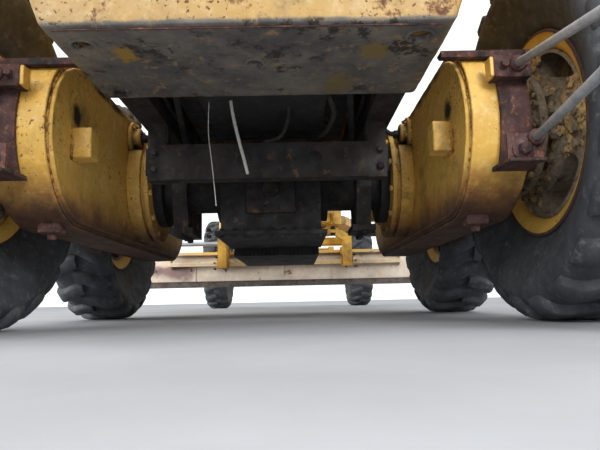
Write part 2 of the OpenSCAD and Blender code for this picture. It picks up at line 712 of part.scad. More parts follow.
// Wheel lean yokes with their kingpins
module lean_yoke(s) color(YELLOW) side(s) difference() {
    union() {
        box([xf - 45, xf + 45], [yoke_y - 40, yoke_y + 60], [lean_z - 45, zc + 150]);
        box([xf - 45, xf + 45], [yoke_y, king_y + 50], [zc + 95, zc + 150]);
        box([xf - 45, xf + 45], [yoke_y, king_y + 50], [lean_z - 45, lean_z + 5]);
        round_z(xf, king_y, 28, [lean_z, zc + 100]);
        box([xf - 45, lean_x - 30], [yoke_y - 40, yoke_y + 40], [zc + 95, bar_high + 40]);
        round_x(yoke_y, bar_high, 15, [lean_x - 31, lean_x + 30]);
    }
    round_x(yoke_y, lean_z, 22 + fit, [xf - 50, xf + 50]);
}

// Knuckle with the wheel spindle and the steering arm
tie_back = 200;
tie_z = 602;
module knuckle(s) color(DARK) side(s) difference() {
    union() {
        round_z(xf, king_y, 50, [lean_z + 6, zc + 94]);
        round_y(xf, zc, shaft_r, [king_y, track / 2 + 98]);
        round_y(xf, zc, 160, [king_y + 76, king_y + 120]);
        box([xf - tie_back - 30, xf], [king_y - 20, king_y + 20], [640, 670]);
    }
    round_z(xf, king_y, 28 + fit, [lean_z, zc + 100]);
    round_z(xf - tie_back, king_y, 12 + fit, [630, 680]);
}
module lean_bar() color(YELLOW) difference() {
    union() {
        box([lean_x - 25, lean_x + 25], [-yoke_y - 40, yoke_y + 40],
            [bar_high - 30, bar_high + 30]);
        box([lean_x + 24, lean_x + 55], [-yoke_y + 80, -yoke_y + 120],
            [bar_high - 30, bar_high + 30]);
    }
    round_x(yoke_y, bar_high, 15 + fit, [lean_x - 30, lean_x + 30]);
    round_x(-yoke_y, bar_high, 17, [lean_x - 30, lean_x + 30]);
}
module tie_rod_end() color(DARK) {
    translate([xf - tie_back, king_y, tie_z]) sphere(r = 28);
    round_z(xf - tie_back, king_y, 12, [tie_z, 672]);
}
module tie_rod() color(DARK) {
    bar([xf - tie_back, -king_y, tie_z], [xf - tie_back, king_y - 28, tie_z], 20);
    translate([xf - tie_back, -king_y, tie_z]) sphere(r = 28);
}

// Wheel lean cylinder between the axle and the lean bar
lean_b = [xf + 220, -yoke_y + 100, bar_high];
lean_u = (lean_b - lean_a) / norm(lean_b - lean_a);
module lean_barrel() color(YELLOW) difference() {
    union() {
        ram_barrel(lean_a, lean_u, 36, 26, 18, [42, 470]);
        bar(lean_a + 25 * lean_u, lean_a + 50 * lean_u, 16);
        round_x(lean_a[1], lean_a[2], 38, [lean_a[0] - 16, lean_a[0] + 16]);
    }
    round_x(lean_a[1], lean_a[2], 15 + fit, [lean_a[0] - 20, lean_a[0] + 25]);
}
module lean_rod() color(STEEL) {
    ram_rod(lean_a, lean_u, 26, 18, [230, norm(lean_b - lean_a)]);
    round_x(lean_b[1], lean_b[2], 30, [lean_b[0] - 18, lean_b[0] + 18]);
}

// Wheels: a round-shouldered tyre with two rows of lugs, on a flanged rim
half_w = tyre_w / 2;
flange_r = flange_d / 2;
root_r = zc - lug_h;
tyre_half = [[rim_d / 2, flange_w / 2 - 25], [flange_r, flange_w / 2 - 25], [flange_r + 24, half_w - 81],
    [432, half_w - 60], [480, half_w - 33], [528, half_w - 8], [562, half_w], [587, half_w - 7],
    [610, half_w - 27], [root_r - 8, half_w - 58], [root_r, half_w - 90]];
tyre_section = concat([for (p = tyre_half) [p[0], -p[1]]],
    [for (i = [len(tyre_half) - 1:-1:0]) tyre_half[i]]);
lugs = 22;
module wheel_at(x, s) translate([x, s * track / 2, zc]) rotate([90 * s, 0, 0]) children();
module gear(r, turn) polygon([for (i = [0:lugs - 1]) for (k = [[-0.27, -9], [-0.2, r], [0, r], [0.2, r],
    [0.27, -9]]) let (a = 90 + turn + (i + k[0]) * 360 / lugs)
    (k[1] < 0 ? root_r + k[1] : k[1]) * [cos(a), sin(a)]]);
module lug_ring(r, turn) difference() {
    gear(r, turn);
    circle(r = root_r - 60);
}
module tyre(x, s) color(RUBBER) wheel_at(x, s) {
    rotate_extrude() polygon(tyre_section);
    for (t = [[0, 1], [180 / lugs, -1]]) scale([1, 1, t[1]]) {
        linear_extrude(half_w - 62) lug_ring(zc, t[0]);
        linear_extrude(half_w - 40) lug_ring(zc - 24, t[0]);
    }
}
module rim(x, s) color(YELLOW) wheel_at(x, s) difference() {
    union() {
        rotate_extrude() polygon([[rim_d / 2 - 17, -flange_w / 2 + 26], [flange_r - 10, -flange_w / 2],
            [flange_r, -flange_w / 2], [flange_r, -flange_w / 2 + 24], [rim_d / 2, -flange_w / 2 + 24],
            [rim_d / 2, flange_w / 2 - 24], [flange_r, flange_w / 2 - 24], [flange_r, flange_w / 2],
            [flange_r - 10, flange_w / 2], [rim_d / 2 - 17, flange_w / 2 - 26]]);
        translate([0, 0, -38]) cylinder(r = rim_d / 2 - 10, h = 64);
        translate([0, 0, -60]) cylinder(r = 184, h = 128);
        translate([0, 0, -129]) cylinder(r = 136, h = 80);
    }
    translate([0, 0, -100]) cylinder(r = shaft_r + fit, h = 170);
}

rear_frame();
counterweight();
engine_block();
drive_case();
case_flanges();
hood();
rear_grille();
exhaust();
tandem_cases();
tandem_brackets();
mudguard_stays();
mud_flaps();
cab_shell();
cab_glass();
seat();
controls();
drain_hose();
rear_lamps();
door(1);  // door_left
door(-1);  // door_right
door_glass(1);  // door_glass_left
door_glass(-1);  // door_glass_right
front_frame();
head_lamps();
front_axle();
drawbar();
circle_ring();  // circle
moldboard();
cutting_edge();
side_shift_rod();
lift_barrels();
lift_rods();
centre_shift_barrel();
centre_shift_rod();
articulation_barrel(1);  // articulation_barrel_left
articulation_barrel(-1);  // articulation_barrel_right
articulation_rod(1);  // articulation_rod_left
articulation_rod(-1);  // articulation_rod_right
lean_barrel();
lean_rod();
lean_yoke(1);  // lean_yoke_left
lean_yoke(-1);  // lean_yoke_right
knuckle(1);  // knuckle_left
knuckle(-1);  // knuckle_right
lean_bar();
tie_rod_end();
tie_rod();
tyre(xf, 1);  // tyre_front_left
tyre(xf, -1);  // tyre_front_right
tyre(xm, 1);  // tyre_mid_left
tyre(xm, -1);  // tyre_mid_right
tyre(xr, 1);  // tyre_rear_left
tyre(xr, -1);  // tyre_rear_right
rim(xf, 1);  // rim_front_left
rim(xf, -1);  // rim_front_right
rim(xm, 1);  // rim_mid_left
rim(xm, -1);  // rim_mid_right
rim(xr, 1);  // rim_rear_left
rim(xr, -1);  // rim_rear_right
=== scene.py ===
import random
from itertools import product
from math import cos, exp, hypot, pi, radians, sin, sqrt

import bmesh
import bpy
from mathutils import Matrix, Vector, noise


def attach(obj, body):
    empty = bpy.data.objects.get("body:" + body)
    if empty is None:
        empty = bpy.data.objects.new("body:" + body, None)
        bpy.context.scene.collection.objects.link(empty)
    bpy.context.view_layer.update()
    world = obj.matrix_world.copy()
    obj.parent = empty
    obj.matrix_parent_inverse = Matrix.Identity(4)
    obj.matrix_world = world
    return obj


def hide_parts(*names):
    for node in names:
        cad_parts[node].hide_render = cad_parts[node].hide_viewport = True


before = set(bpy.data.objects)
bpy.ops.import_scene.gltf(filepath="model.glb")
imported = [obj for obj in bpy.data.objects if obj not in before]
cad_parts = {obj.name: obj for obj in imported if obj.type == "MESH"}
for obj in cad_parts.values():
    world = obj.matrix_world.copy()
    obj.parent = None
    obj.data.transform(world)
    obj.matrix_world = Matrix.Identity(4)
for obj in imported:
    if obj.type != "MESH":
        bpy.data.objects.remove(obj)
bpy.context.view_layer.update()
XT = -2.510  # tandem centre in the row frame, metres
# Shapes are given in mm from the tandem centre on the ground; MM takes them to the row frame.
MM = Matrix.Translation((XT, 0, 0)) @ Matrix.Scale(0.001, 4)
XR, XM, XF = -762.5, 762.5, 5900  # rear, middle and front wheel centres
WHEEL_Y, ZC, CASE_Z = 1060, 665, 650
BOSS_X, BOSS_Z = -175, CASE_Z + 205
BUMPER_BACK, BUMPER_FRONT, BUMPER_LOW = -1459, -961, 755
HOOD_Y, CAB_FRONT, CAB_BACK = 557, 2052, 648
ROLL_X, ROLL_Z = 3431, 346.5  # centre of the blade's curve
SIDES = ((1, "left"), (-1, "right"))
BACK, AHEAD, DOWN, UP = (-1, 0, 0), (1, 0, 0), (0, 0, -1), (0, 0, 1)
INWARD, OUTWARD = (0, -1, 0), (0, 1, 0)  # on the left side


def link(name, data):
    """A new object in the scene."""
    o = bpy.data.objects.new(name, data)
    bpy.context.collection.objects.link(o)
    return o


# Camera
def make_camera():
    """The photo's view, solved from the wheels and cases seen in it."""
    yaw, pitch, roll = -0.0100144, 0.134114, -0.0217193
    place, focal, width = (XT - 2.73594, -0.10247, 0.08775), 561.30, 600  # focal length in pixels
    f = Vector((cos(yaw) * cos(pitch), sin(yaw) * cos(pitch), sin(pitch)))
    r = Vector((sin(yaw), -cos(yaw), 0))
    u = r.cross(f)
    right = cos(roll) * r + sin(roll) * u
    up = -sin(roll) * r + cos(roll) * u
    m = Matrix((right, up, -f)).transposed().to_4x4()
    m.translation = place
    data = bpy.data.cameras.new("camera")
    data.sensor_fit, data.sensor_width = "HORIZONTAL", 36
    data.lens = focal / width * data.sensor_width
    data.clip_start, data.clip_end = 0.01, 200
    cam = link("camera", data)
    cam.matrix_world = m
    bpy.context.scene.camera = cam


make_camera()


# Materials
def rgb(r, g, b):
    """A colour given as 0 to 255 in sRGB."""
    return tuple(((v / 255 + 0.055) / 1.055) ** 2.4 if v > 10 else v / 255 / 12.92
                 for v in (r, g, b)) + (1,)


class Mat:
    """A node material put together from short calls."""

    def __init__(self, name):
        self.mat = bpy.data.materials.new(name)
        self.mat.use_nodes = True
        self.tree = self.mat.node_tree
        self.tree.nodes.clear()
        self.out = self.tree.nodes.new("ShaderNodeOutputMaterial")
        self.bsdf = self.tree.nodes.new("ShaderNodeBsdfPrincipled")
        self.tree.links.new(self.bsdf.outputs[0], self.out.inputs[0])
        self.pos = self.tree.nodes.new("ShaderNodeTexCoord").outputs["Object"]

    def put(self, node, ins):
        """Links each output, or sets each constant, into the node's input of that name or number."""
        for k, v in ins.items():
            if isinstance(v, bpy.types.NodeSocket):
                self.tree.links.new(v, node.inputs[k])
            else:
                node.inputs[k].default_value = v
        return node

    def node(self, kind, ins, **props):
        n = self.tree.nodes.new("ShaderNode" + kind)
        for k, v in props.items():
            setattr(n, k, v)
        return self.put(n, ins)

    def calc(self, op, a, b, clamp=False):
        return self.node("Math", {0: a, 1: b}, operation=op, use_clamp=clamp).outputs[0]

    def times(self, a, b):
        return self.calc("MULTIPLY", a, b)

    def plus(self, a, b, clamp=False):
        return self.calc("ADD", a, b, clamp)

    def most(self, a, b):
        return self.calc("MAXIMUM", a, b)

    def band(self, x, lo, hi, a=0.0, b=1.0):
        n = self.node("MapRange", {0: x, 1: lo, 2: hi, 3: a, 4: b})
        n.interpolation_type = "SMOOTHSTEP"
        return n.outputs[0]

    def noise(self, scale, detail=4, rough=0.6, stretch=None, lo=0.0, hi=1.0):
        vec = self.pos
        if stretch:
            vec = self.node("Mapping", {0: vec, 3: stretch}).outputs[0]
        n = self.node("TexNoise", {"Vector": vec, "Scale": scale, "Detail": detail, "Roughness": rough})
        return self.band(n.outputs[0], lo, hi) if (lo, hi) != (0.0, 1.0) else n.outputs[0]

    def mix(self, f, a, b):
        """Mixes outputs or colours given as 0 to 255."""
        a, b = (rgb(*v) if isinstance(v, tuple) else v for v in (a, b))
        return self.node("Mix", {0: f, 6: a, 7: b}, data_type="RGBA").outputs[2]

    def axis(self, i):
        return self.node("SeparateXYZ", {0: self.pos}).outputs[i]

    def blob(self, centre, radii, soft=0.5, ragged=0.35, scale=14):
        """1 inside an uneven ellipsoid round a point (mm from the tandem centre), 0 outside."""
        c = MM @ Vector(centre)
        d = self.node("VectorMath", {0: self.pos, 1: tuple(c)}, operation="SUBTRACT").outputs[0]
        s = tuple(1000 / r for r in radii)
        d = self.node("VectorMath", {0: d, 1: s}, operation="MULTIPLY").outputs[0]
        d = self.node("VectorMath", {0: d}, operation="LENGTH").outputs["Value"]
        n = self.times(self.calc("SUBTRACT", self.noise(scale, 4), 0.5), ragged * 2)
        return self.band(self.plus(d, n), 1.0, 1.0 - soft)

    def edges(self, radius):
        """1 at outer edges, from occlusion inside the solid."""
        n = self.node("AmbientOcclusion", {"Distance": radius}, samples=6, inside=True)
        return self.band(n.outputs["AO"], 0.9, 0.62)

    def finish(self, colour, rough, height=None, strength=0.3, distance=0.003, metal=0.0, **const):
        self.put(self.bsdf, {"Base Color": colour, "Roughness": rough, "Metallic": metal, **const})
        if height is not None:
            b = self.node("Bump", {"Height": height, "Strength": strength, "Distance": distance})
            self.tree.links.new(b.outputs[0], self.bsdf.inputs["Normal"])
        return self.mat


def worn_paint(name, tones, rust=0.5, dirt=0.5, dirt_tone=(70, 60, 48), low=None, edge=0.006,
               specks=0.5, marks=(), rust_tones=((112, 62, 34), (62, 38, 28)), under=None, foot=None):
    """Old machine paint: uneven colour, rust freckles and patches, dirt, bare worn edges, and painted shade on
    the underside.
    low and foot are heights in mm between which rust or mud takes over; under is a height in metres below
    which shade is painted; marks are blobs of a tone."""
    m = Mat(name)
    col = m.mix(m.noise(2.3, 3, lo=0.35, hi=0.7), tones[0], tones[1])
    col = m.mix(m.noise(31, 5, 0.7, lo=0.45, hi=0.75), col, tones[2])
    streak = m.noise(9, 4, 0.6, stretch=(1, 1, 0.12), lo=0.5, hi=0.78)
    grime = m.times(m.noise(4.5, 6, 0.65, lo=0.62 - dirt * 0.3, hi=0.86 - dirt * 0.25), 0.85)
    grime = m.most(grime, m.times(streak, dirt * 0.55))
    col = m.mix(grime, col, dirt_tone)
    rusty = m.mix(m.noise(60, 4, 0.7, lo=0.3, hi=0.7), rust_tones[0], rust_tones[1])
    patch = m.noise(7, 8, 0.72, lo=0.70 - rust * 0.16, hi=0.76 - rust * 0.15)
    fleck = m.noise(85, 3, 0.5, lo=0.70 - specks * 0.1, hi=0.78 - specks * 0.1)
    gate = m.noise(5.1, 3, lo=0.38, hi=0.62)
    rust_mask = m.most(patch, m.times(fleck, gate))
    if edge:
        ragged = m.noise(45, 4, 0.7, lo=0.36, hi=0.58)
        rust_mask = m.most(rust_mask, m.times(m.edges(edge), ragged))
    if low:
        height = m.plus(m.axis(2), m.times(m.noise(6, 5, 0.65), 0.22))
        fall = m.band(height, low[1] / 1000 + 0.11, low[0] / 1000 + 0.11)
        rust_mask = m.most(rust_mask, m.times(fall, m.noise(26, 5, 0.7, lo=0.1, hi=0.5)))
    col = m.mix(rust_mask, col, rusty)
    if foot:  # nearly black with mud and oil at the bottom
        wave = m.plus(m.axis(2), m.times(m.noise(8, 5, 0.65), 0.16))
        mask = m.times(m.band(wave, foot[1] / 1000 + 0.08, foot[0] / 1000 + 0.08), 0.85)
        col = m.mix(mask, col, m.mix(m.noise(19, 5, lo=0.35, hi=0.7), (56, 44, 38), (92, 66, 46)))
    if under:  # painted shade where the underside begins, mottled, with scraped spots of worn paint
        under_shade = m.mix(m.noise(5, 6, 0.7, lo=0.35, hi=0.7), (80, 77, 75), (124, 116, 104))
        under_shade = m.mix(m.noise(9, 7, 0.75, lo=0.55, hi=0.6), under_shade, (52, 46, 42))
        under_shade = m.mix(m.noise(26, 7, 0.8, lo=0.56, hi=0.62), under_shade, (142, 118, 82))
        wave = m.plus(m.axis(2), m.times(m.noise(11, 4), 0.02))
        col = m.mix(m.band(wave, under + 0.018, under + 0.008), col, under_shade)
    for centre, radii, tone, *more in marks:
        mask = m.blob(centre, radii, *more)
        col = m.mix(mask, col, tone)
        rust_mask = m.most(rust_mask, m.times(mask, 0.5))
    r = m.band(m.noise(18, 4), 0.2, 0.8, 0.37, 0.59)
    r = m.plus(r, m.times(rust_mask, 0.3), clamp=True)
    h = m.plus(m.times(rust_mask, -0.6), m.times(m.noise(120, 3), 0.35))
    h = m.plus(h, m.times(m.noise(16, 3), 0.5))
    return m.finish(col, r, h, 0.35, **{"Specular IOR Level": 0.4})


def plain(name, tones, scale, grain, rough, bump, metal=0, spots=None, marks=()):
    """Rubber, bare steel, dirt and other one-layer stuff, with uneven colour at two scales."""
    m = Mat(name)
    col = m.mix(m.noise(scale, 5, 0.65, lo=0.3, hi=0.72), tones[0], tones[1])
    if len(tones) > 2:
        col = m.mix(m.noise(scale * 3.7, 4, 0.7, lo=0.52, hi=0.74), col, tones[2])
    if spots:
        col = m.mix(m.noise(spots[1], 5, 0.7, lo=spots[2], hi=spots[2] + 0.08), col, spots[0])
    for centre, radii, tone, *more in marks:
        col = m.mix(m.blob(centre, radii, *more), col, tone)
    r = m.band(m.noise(scale * 2, 4), 0.25, 0.75, *rough)
    h = m.plus(m.times(m.noise(grain, 3), 0.3), m.noise(scale * 1.5, 4))
    return m.finish(col, r, h, bump, metal=metal)


def make_glass():
    m = Mat("cab_glass")
    smear = m.noise(6, 5, 0.7, lo=0.5, hi=0.8)
    col = m.mix(smear, (214, 226, 224), (176, 184, 176))
    return m.finish(col, m.times(smear, 0.25), **{"Transmission Weight": 0.92, "IOR": 1.45})


YELLOW = ((216, 164, 52), (200, 148, 44), (228, 182, 84))
OIL = (34, 31, 30)
M = {
    "paint": worn_paint("yellow_worn", YELLOW, rust=0.2, dirt=0.25),
    "hood": worn_paint("yellow_hood", YELLOW, rust=0.3, dirt=0.35, specks=0.7, edge=0),
    "paint_low": worn_paint("yellow_dirty", YELLOW, rust=0.45, dirt=0.55, low=(250, 620)),
    "rim": worn_paint("yellow_rim", ((240, 190, 88), (228, 176, 70), (244, 206, 118)), rust=0.12, dirt=0.12,
                      edge=0, specks=0.6, dirt_tone=(128, 98, 56)),
    # the bumper's tones are the yellow paint made darker, which paints shade on it
    "bumper": worn_paint(
        "yellow_bumper", ((160, 126, 64), (146, 118, 74), (172, 146, 96)), rust=0.85, dirt=0.25, specks=1.0,
        # below under, the bumper's underside is painted shade, with scraped spots
        edge=0.010, under=0.764, marks=(((-1290, 345, 756), (62, 36, 22), (150, 116, 50), 0.5, 0.9, 40),
                                        ((-1060, -250, 756), (120, 60, 22), (112, 96, 60), 0.6, 0.9, 24),
                                        ((-1290, -330, 756), (60, 50, 22), (120, 100, 58), 0.5, 0.9, 30))),
    "case": worn_paint(
        "yellow_case", ((230, 184, 92), (222, 172, 70), (240, 206, 124)), rust=0.5, dirt=0.3, specks=1.0,
        low=(330, 600), foot=(370, 480), rust_tones=((150, 84, 44), (84, 50, 34)),
        marks=[((-835, y, 742), (70, 40, 60), OIL, 0.7, 0.9, 18) for y in (655, -655)]
        + [((-170, y, 815), (100, 70, 150), OIL, 0.7, 0.55, 12) for y in (640, -640)]
        + [((-500, y, 930), (420, 30, 40), (58, 48, 40), 0.8, 1.0, 9) for y in (655, -655)]),
    "glass": make_glass()}
BLADE_MARKS = (((3160, 1150, 430), (60, 330, 150), (124, 98, 92), 0.6, 0.8, 5),
               ((3160, 1500, 430), (60, 220, 150), (104, 78, 76), 0.6, 0.8, 7),
               ((3130, 0, 640), (160, 1500, 72), (222, 184, 96), 0.15, 0.3, 9),
               ((3100, 0, 482), (60, 1500, 24), (198, 164, 100), 0.3, 0.5, 9))
# key, name, tones, scale, grain, roughness, bump, metal, spots (tone, scale, threshold), marks
PLAIN = (
    ("dark", "dark_grimy", ((40, 38, 38), (22, 21, 22), (66, 56, 46)), 7, 90, (0.6, 0.9), 0.6, 0,
     ((84, 66, 48), 17, 0.62)),
    # frame_dark is grime on the frame, made darker still as painted shade
    ("frame_dark", "frame_grimy", ((46, 42, 40), (26, 24, 24), (72, 58, 46)), 6, 80, (0.6, 0.9), 0.6, 0,
     ((96, 72, 50), 14, 0.6)),
    ("rust", "rust_brown", ((82, 54, 49), (52, 35, 35), (140, 86, 58)), 14, 160, (0.7, 0.95), 0.7, 0,
     ((34, 27, 27), 8, 0.56)),
    # zinc: the light tone is partly galvanised grey and partly painted sheen, with its metal lowered
    ("zinc", "zinc_pipe", ((158, 160, 164), (130, 132, 135), (176, 174, 166)), 25, 300, (0.35, 0.55), 0.2, 0.3,
     ((96, 84, 72), 18, 0.66)),
    ("chrome", "rod_chrome", ((176, 176, 178), (150, 150, 152)), 12, 200, (0.12, 0.3), 0.05, 1),
    ("tyre", "tyre_rubber", ((68, 70, 74), (50, 52, 56), (100, 100, 100)), 9, 220, (0.65, 0.9), 0.3),
    ("rubber", "rubber_black", ((30, 30, 31), (22, 22, 23), (52, 49, 46)), 14, 200, (0.6, 0.8), 0.3),
    ("steel", "worn_steel", ((110, 104, 98), (82, 76, 72), (136, 116, 92)), 10, 180, (0.4, 0.7), 0.3, 0.5,
     ((96, 62, 44), 22, 0.56)),
    ("blade", "blade_steel", ((218, 206, 188), (190, 174, 156), (216, 188, 150)), 5, 110, (0.5, 0.8), 0.3, 0.1,
     ((126, 94, 74), 9, 0.6), BLADE_MARKS),
    ("mud", "muddy_metal", ((128, 115, 98), (92, 82, 71), (166, 138, 92)), 24, 130, (0.7, 0.95), 0.7, 0,
     ((52, 46, 42), 16, 0.58)),
    ("clay", "dried_clay", ((180, 152, 100), (134, 113, 82), (208, 176, 112)), 30, 150, (0.8, 0.98), 0.9, 0,
     ((82, 66, 50), 26, 0.58)),
    ("lip", "rusty_lip", ((84, 62, 56), (58, 46, 44), (132, 96, 60)), 14, 150, (0.7, 0.9), 0.5),
    ("vinyl", "seat_vinyl", ((38, 38, 42), (28, 28, 31)), 20, 420, (0.5, 0.65), 0.35),
    ("hose", "vinyl_hose", ((212, 212, 204), (192, 192, 184), (150, 146, 132)), 30, 300, (0.3, 0.5), 0.1),
    ("lamp_red", "lamp_red", ((170, 26, 22), (136, 18, 16)), 40, 500, (0.15, 0.3), 0.2),
    ("lamp_white", "lamp_white", ((226, 226, 220), (196, 198, 196)), 40, 500, (0.1, 0.25), 0.2))
for key, *look in PLAIN:
    M[key] = plain(*look)


# CAD nodes
def dress(names, mat, bevel=0):
    """Gives CAD nodes a material and, with a width in metres, rounded edges."""
    for name in names.split():
        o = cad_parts[name]
        o.data.materials.clear()
        o.data.materials.append(M[mat])
        for p in o.data.polygons:
            p.material_index = 0
        if bevel:
            w = o.modifiers.new("weld", "WELD")
            w.merge_threshold = 0.00002
            v = o.modifiers.new("bevel", "BEVEL")
            v.width, v.segments, v.limit_method, v.angle_limit = bevel, 2, "ANGLE", radians(42)
            v.use_clamp_overlap = True


dress("rear_frame", "frame_dark", 0.004)
dress("drive_case engine_block controls", "dark", 0.004)
dress("exhaust rear_grille", "dark", 0.003)
dress("hood", "hood", 0.006)
dress("cab_shell door_left door_right front_frame", "paint", 0.006)
dress("counterweight", "bumper", 0.006)
dress("tandem_cases", "case", 0.005)
dress("tandem_brackets", "rust", 0.003)
dress("case_flanges", "case", 0.002)
dress("front_axle drawbar circle lift_barrels centre_shift_barrel articulation_barrel_left"
      " articulation_barrel_right lean_barrel lean_yoke_left lean_yoke_right lean_bar", "paint_low", 0.003)
dress("moldboard", "blade", 0.003)
dress("cutting_edge", "steel", 0.002)
dress("knuckle_left knuckle_right tie_rod tie_rod_end", "frame_dark", 0.002)
dress("side_shift_rod lift_rods centre_shift_rod articulation_rod_left articulation_rod_right lean_rod",
      "chrome", 0.001)
dress("mudguard_stays", "zinc")
dress("mud_flaps", "rubber", 0.002)
dress("cab_glass door_glass_left door_glass_right", "glass")
dress("seat", "vinyl", 0.01)
dress("drain_hose", "hose")
dress("rear_lamps", "lamp_red", 0.004)
dress("head_lamps", "lamp_white", 0.004)
for end in ("front", "mid", "rear"):
    for _, side in SIDES:
        dress(f"tyre_{end}_{side}", "tyre")
        dress(f"rim_{end}_{side}", "paint_low", 0.003)


# Shape helpers
def new_object(name, me, body, replaces=()):
    o = link(name, me)
    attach(o, body)
    if replaces:
        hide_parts(*replaces)
    return o


def smooth(me, angle=38):
    """Smooth shading, with edges left sharp beyond an angle in degrees."""
    me.shade_smooth()
    me.set_sharp_from_angle(angle=radians(angle))


class Shape:
    """A mesh built in mm from the tandem centre, part by part, each part in a material."""

    def __init__(self):
        self.b = bmesh.new()
        self.done = self.b.faces.layers.int.new("done")
        self.mats, self.now = [], None

    def mat(self, name):
        self.flush()
        if name not in self.mats:
            self.mats.append(name)
        self.now = self.mats.index(name)
        return self

    def flush(self):
        for f in self.b.faces:
            if not f[self.done]:
                f[self.done] = 1
                f.material_index = self.now or 0

    def ring(self, pts):
        return [self.b.verts.new(p) for p in pts]

    def cap(self, ring):
        try:
            self.b.faces.new(ring)
        except ValueError:  # the face is there already
            pass

    def skin(self, a, b):
        for i in range(len(a)):
            j = (i + 1) % len(a)
            self.cap((a[i], a[j], b[j], b[i]))

    def loft(self, rings, first=True, last=True):
        """Skins from ring to ring and caps the first and the last."""
        for a, c in zip(rings, rings[1:]):
            self.skin(a, c)
        if first:
            self.cap(rings[0][::-1])
        if last:
            self.cap(rings[-1])

    def prism(self, pts, along, bevel=0.0):
        """A flat outline (3-D points) extruded by a vector."""
        before = set(self.b.faces)
        self.loft([self.ring(pts), self.ring([Vector(p) + Vector(along) for p in pts])])
        made = [f for f in self.b.faces if f not in before]
        bmesh.ops.recalc_face_normals(self.b, faces=made)
        if bevel:
            sharp = [e for e in {e for f in made for e in f.edges} if e.calc_face_angle(0) > 0.5]
            bmesh.ops.bevel(self.b, geom=sharp, offset=bevel, segments=2, profile=0.5, affect="EDGES",
                            clamp_overlap=True)

    def lathe(self, profile, centre, axis=(0, 1, 0), n=64, closed=False, start=0.0):
        """A profile of (radius, height) turned round an axis."""
        a = Vector(axis).normalized()
        u = a.orthogonal().normalized() if abs(a.y) < 0.99 else Vector((1, 0, 0))
        v = a.cross(u)
        c = Vector(centre)
        rings = []
        for r, h in profile:
            if r < 1e-6:
                rings.append([self.b.verts.new(c + a * h)])
            else:
                rings.append(self.ring([c + a * h + u * p + v * q for p, q in around(n, r, start)]))
        for p, q in zip(rings, rings[1:] + ([rings[0]] if closed else [])):
            if len(p) == 1 or len(q) == 1:
                one, many = (p, q) if len(p) == 1 else (q, p)
                for i in range(n):
                    self.b.faces.new((one[0], many[i], many[(i + 1) % n]))
            else:
                self.skin(p, q)

    def tube(self, pts, r, n=10, cap=True, ripple=0.0):
        """A round tube through points; r is a number or a list."""
        pts = [Vector(p) for p in pts]
        t0 = (pts[1] - pts[0]).normalized()
        u = t0.orthogonal().normalized()
        rings = []
        for i, p in enumerate(pts):
            t = (pts[min(i + 1, len(pts) - 1)] - pts[max(i - 1, 0)]).normalized()
            u = (u - t * u.dot(t)).normalized()
            w = t.cross(u)
            size = (r[i] if isinstance(r, list) else r) * (1 + ripple * (-1) ** i)
            rings.append(self.ring([p + u * a + w * b for a, b in around(n, size)]))
        self.loft(rings, cap, cap)
        return self

    def pipe(self, pts, r, n=10, fine=8):
        """A tube that bends smoothly through points."""
        return self.tube(curve_through(pts, fine), r, n)

    def weld(self, pts, r, step, closed=False):
        """A weld bead: a thin tube with scale-like ripples."""
        pts = [Vector(p) for p in pts] + ([Vector(pts[0])] if closed else [])
        out = []
        for a, c in zip(pts, pts[1:]):
            k = max(1, round((c - a).length / step))
            out += [a.lerp(c, i / k) for i in range(k)]
        out.append(pts[-1])
        rnd = random.Random(len(out))
        self.tube(out, [r * rnd.uniform(0.8, 1.2) for _ in out], 6, True, 0.12)

    def bolt(self, at, out, size, high=None, turn=0.3):
        """A hexagon bolt head with a chamfer, on a washer; size is across its corners."""
        a, d = Vector(at), Vector(out).normalized()
        r = size / 2
        h = high or size * 0.55
        base = r * 0.2
        washer = [(0, 0), (1.35, 0), (1.35, 0.16), (1.25, 0.22), (0, 0.22)]
        self.lathe([(r * x, r * y) for x, y in washer], a, d, 20)
        self.lathe([(r, base), (r, base + h * 0.8), (r * 0.82, base + h), (0, base + h)], a, d, 6, start=turn)

    def bolts(self, xs, ys, zs, out, size, high=None):
        """A bolt at each crossing of a grid."""
        for at in product(xs, ys, zs):
            self.bolt(at, out, size, high)

    def blobs(self, spots, seed, rough=0.35):
        """Lumps of dried mud: (centre, radius, flattening vector)."""
        for i, (c, r, flat) in enumerate(spots):
            got = bmesh.ops.create_icosphere(self.b, subdivisions=2, radius=1)
            c, flat = Vector(c), Vector(flat)
            for v in got["verts"]:
                k = 1 + rough * noise.noise(v.co * 1.7 + Vector((i * 3.1 + seed, seed, 0)))
                v.co = c + v.co * flat * r * k

    def roughen(self, amount, scale, verts=None):
        """Small dents and waves: moves points along their normals."""
        self.b.normal_update()
        for v in verts or self.b.verts:
            v.co += v.normal * amount * noise.fractal(v.co / scale, 1.0, 2.0, 3)

    def block(self, lo, hi, r, step, warp=None):
        """A box with round edges on a fine grid; warp(x, y, z) bends it."""
        r = min([r] + [(c - a) / 2.05 for a, c in zip(lo, hi)])
        lines = []
        for a, c in zip(lo, hi):
            k = max(1, round((c - a - 2 * r) / step))
            lines.append([a, a + 0.3 * r] + [a + r + (c - a - 2 * r) * i / k for i in range(k + 1)]
                         + [c - 0.3 * r, c])
        n = [len(t) - 1 for t in lines]
        got = {}

        def at(key):
            if key not in got:
                p = Vector([lines[i][key[i]] for i in range(3)])
                q = Vector([min(max(p[i], lo[i] + r), hi[i] - r) for i in range(3)])
                p = q + (p - q).normalized() * r
                got[key] = self.b.verts.new(warp(*p) if warp else p)
            return got[key]

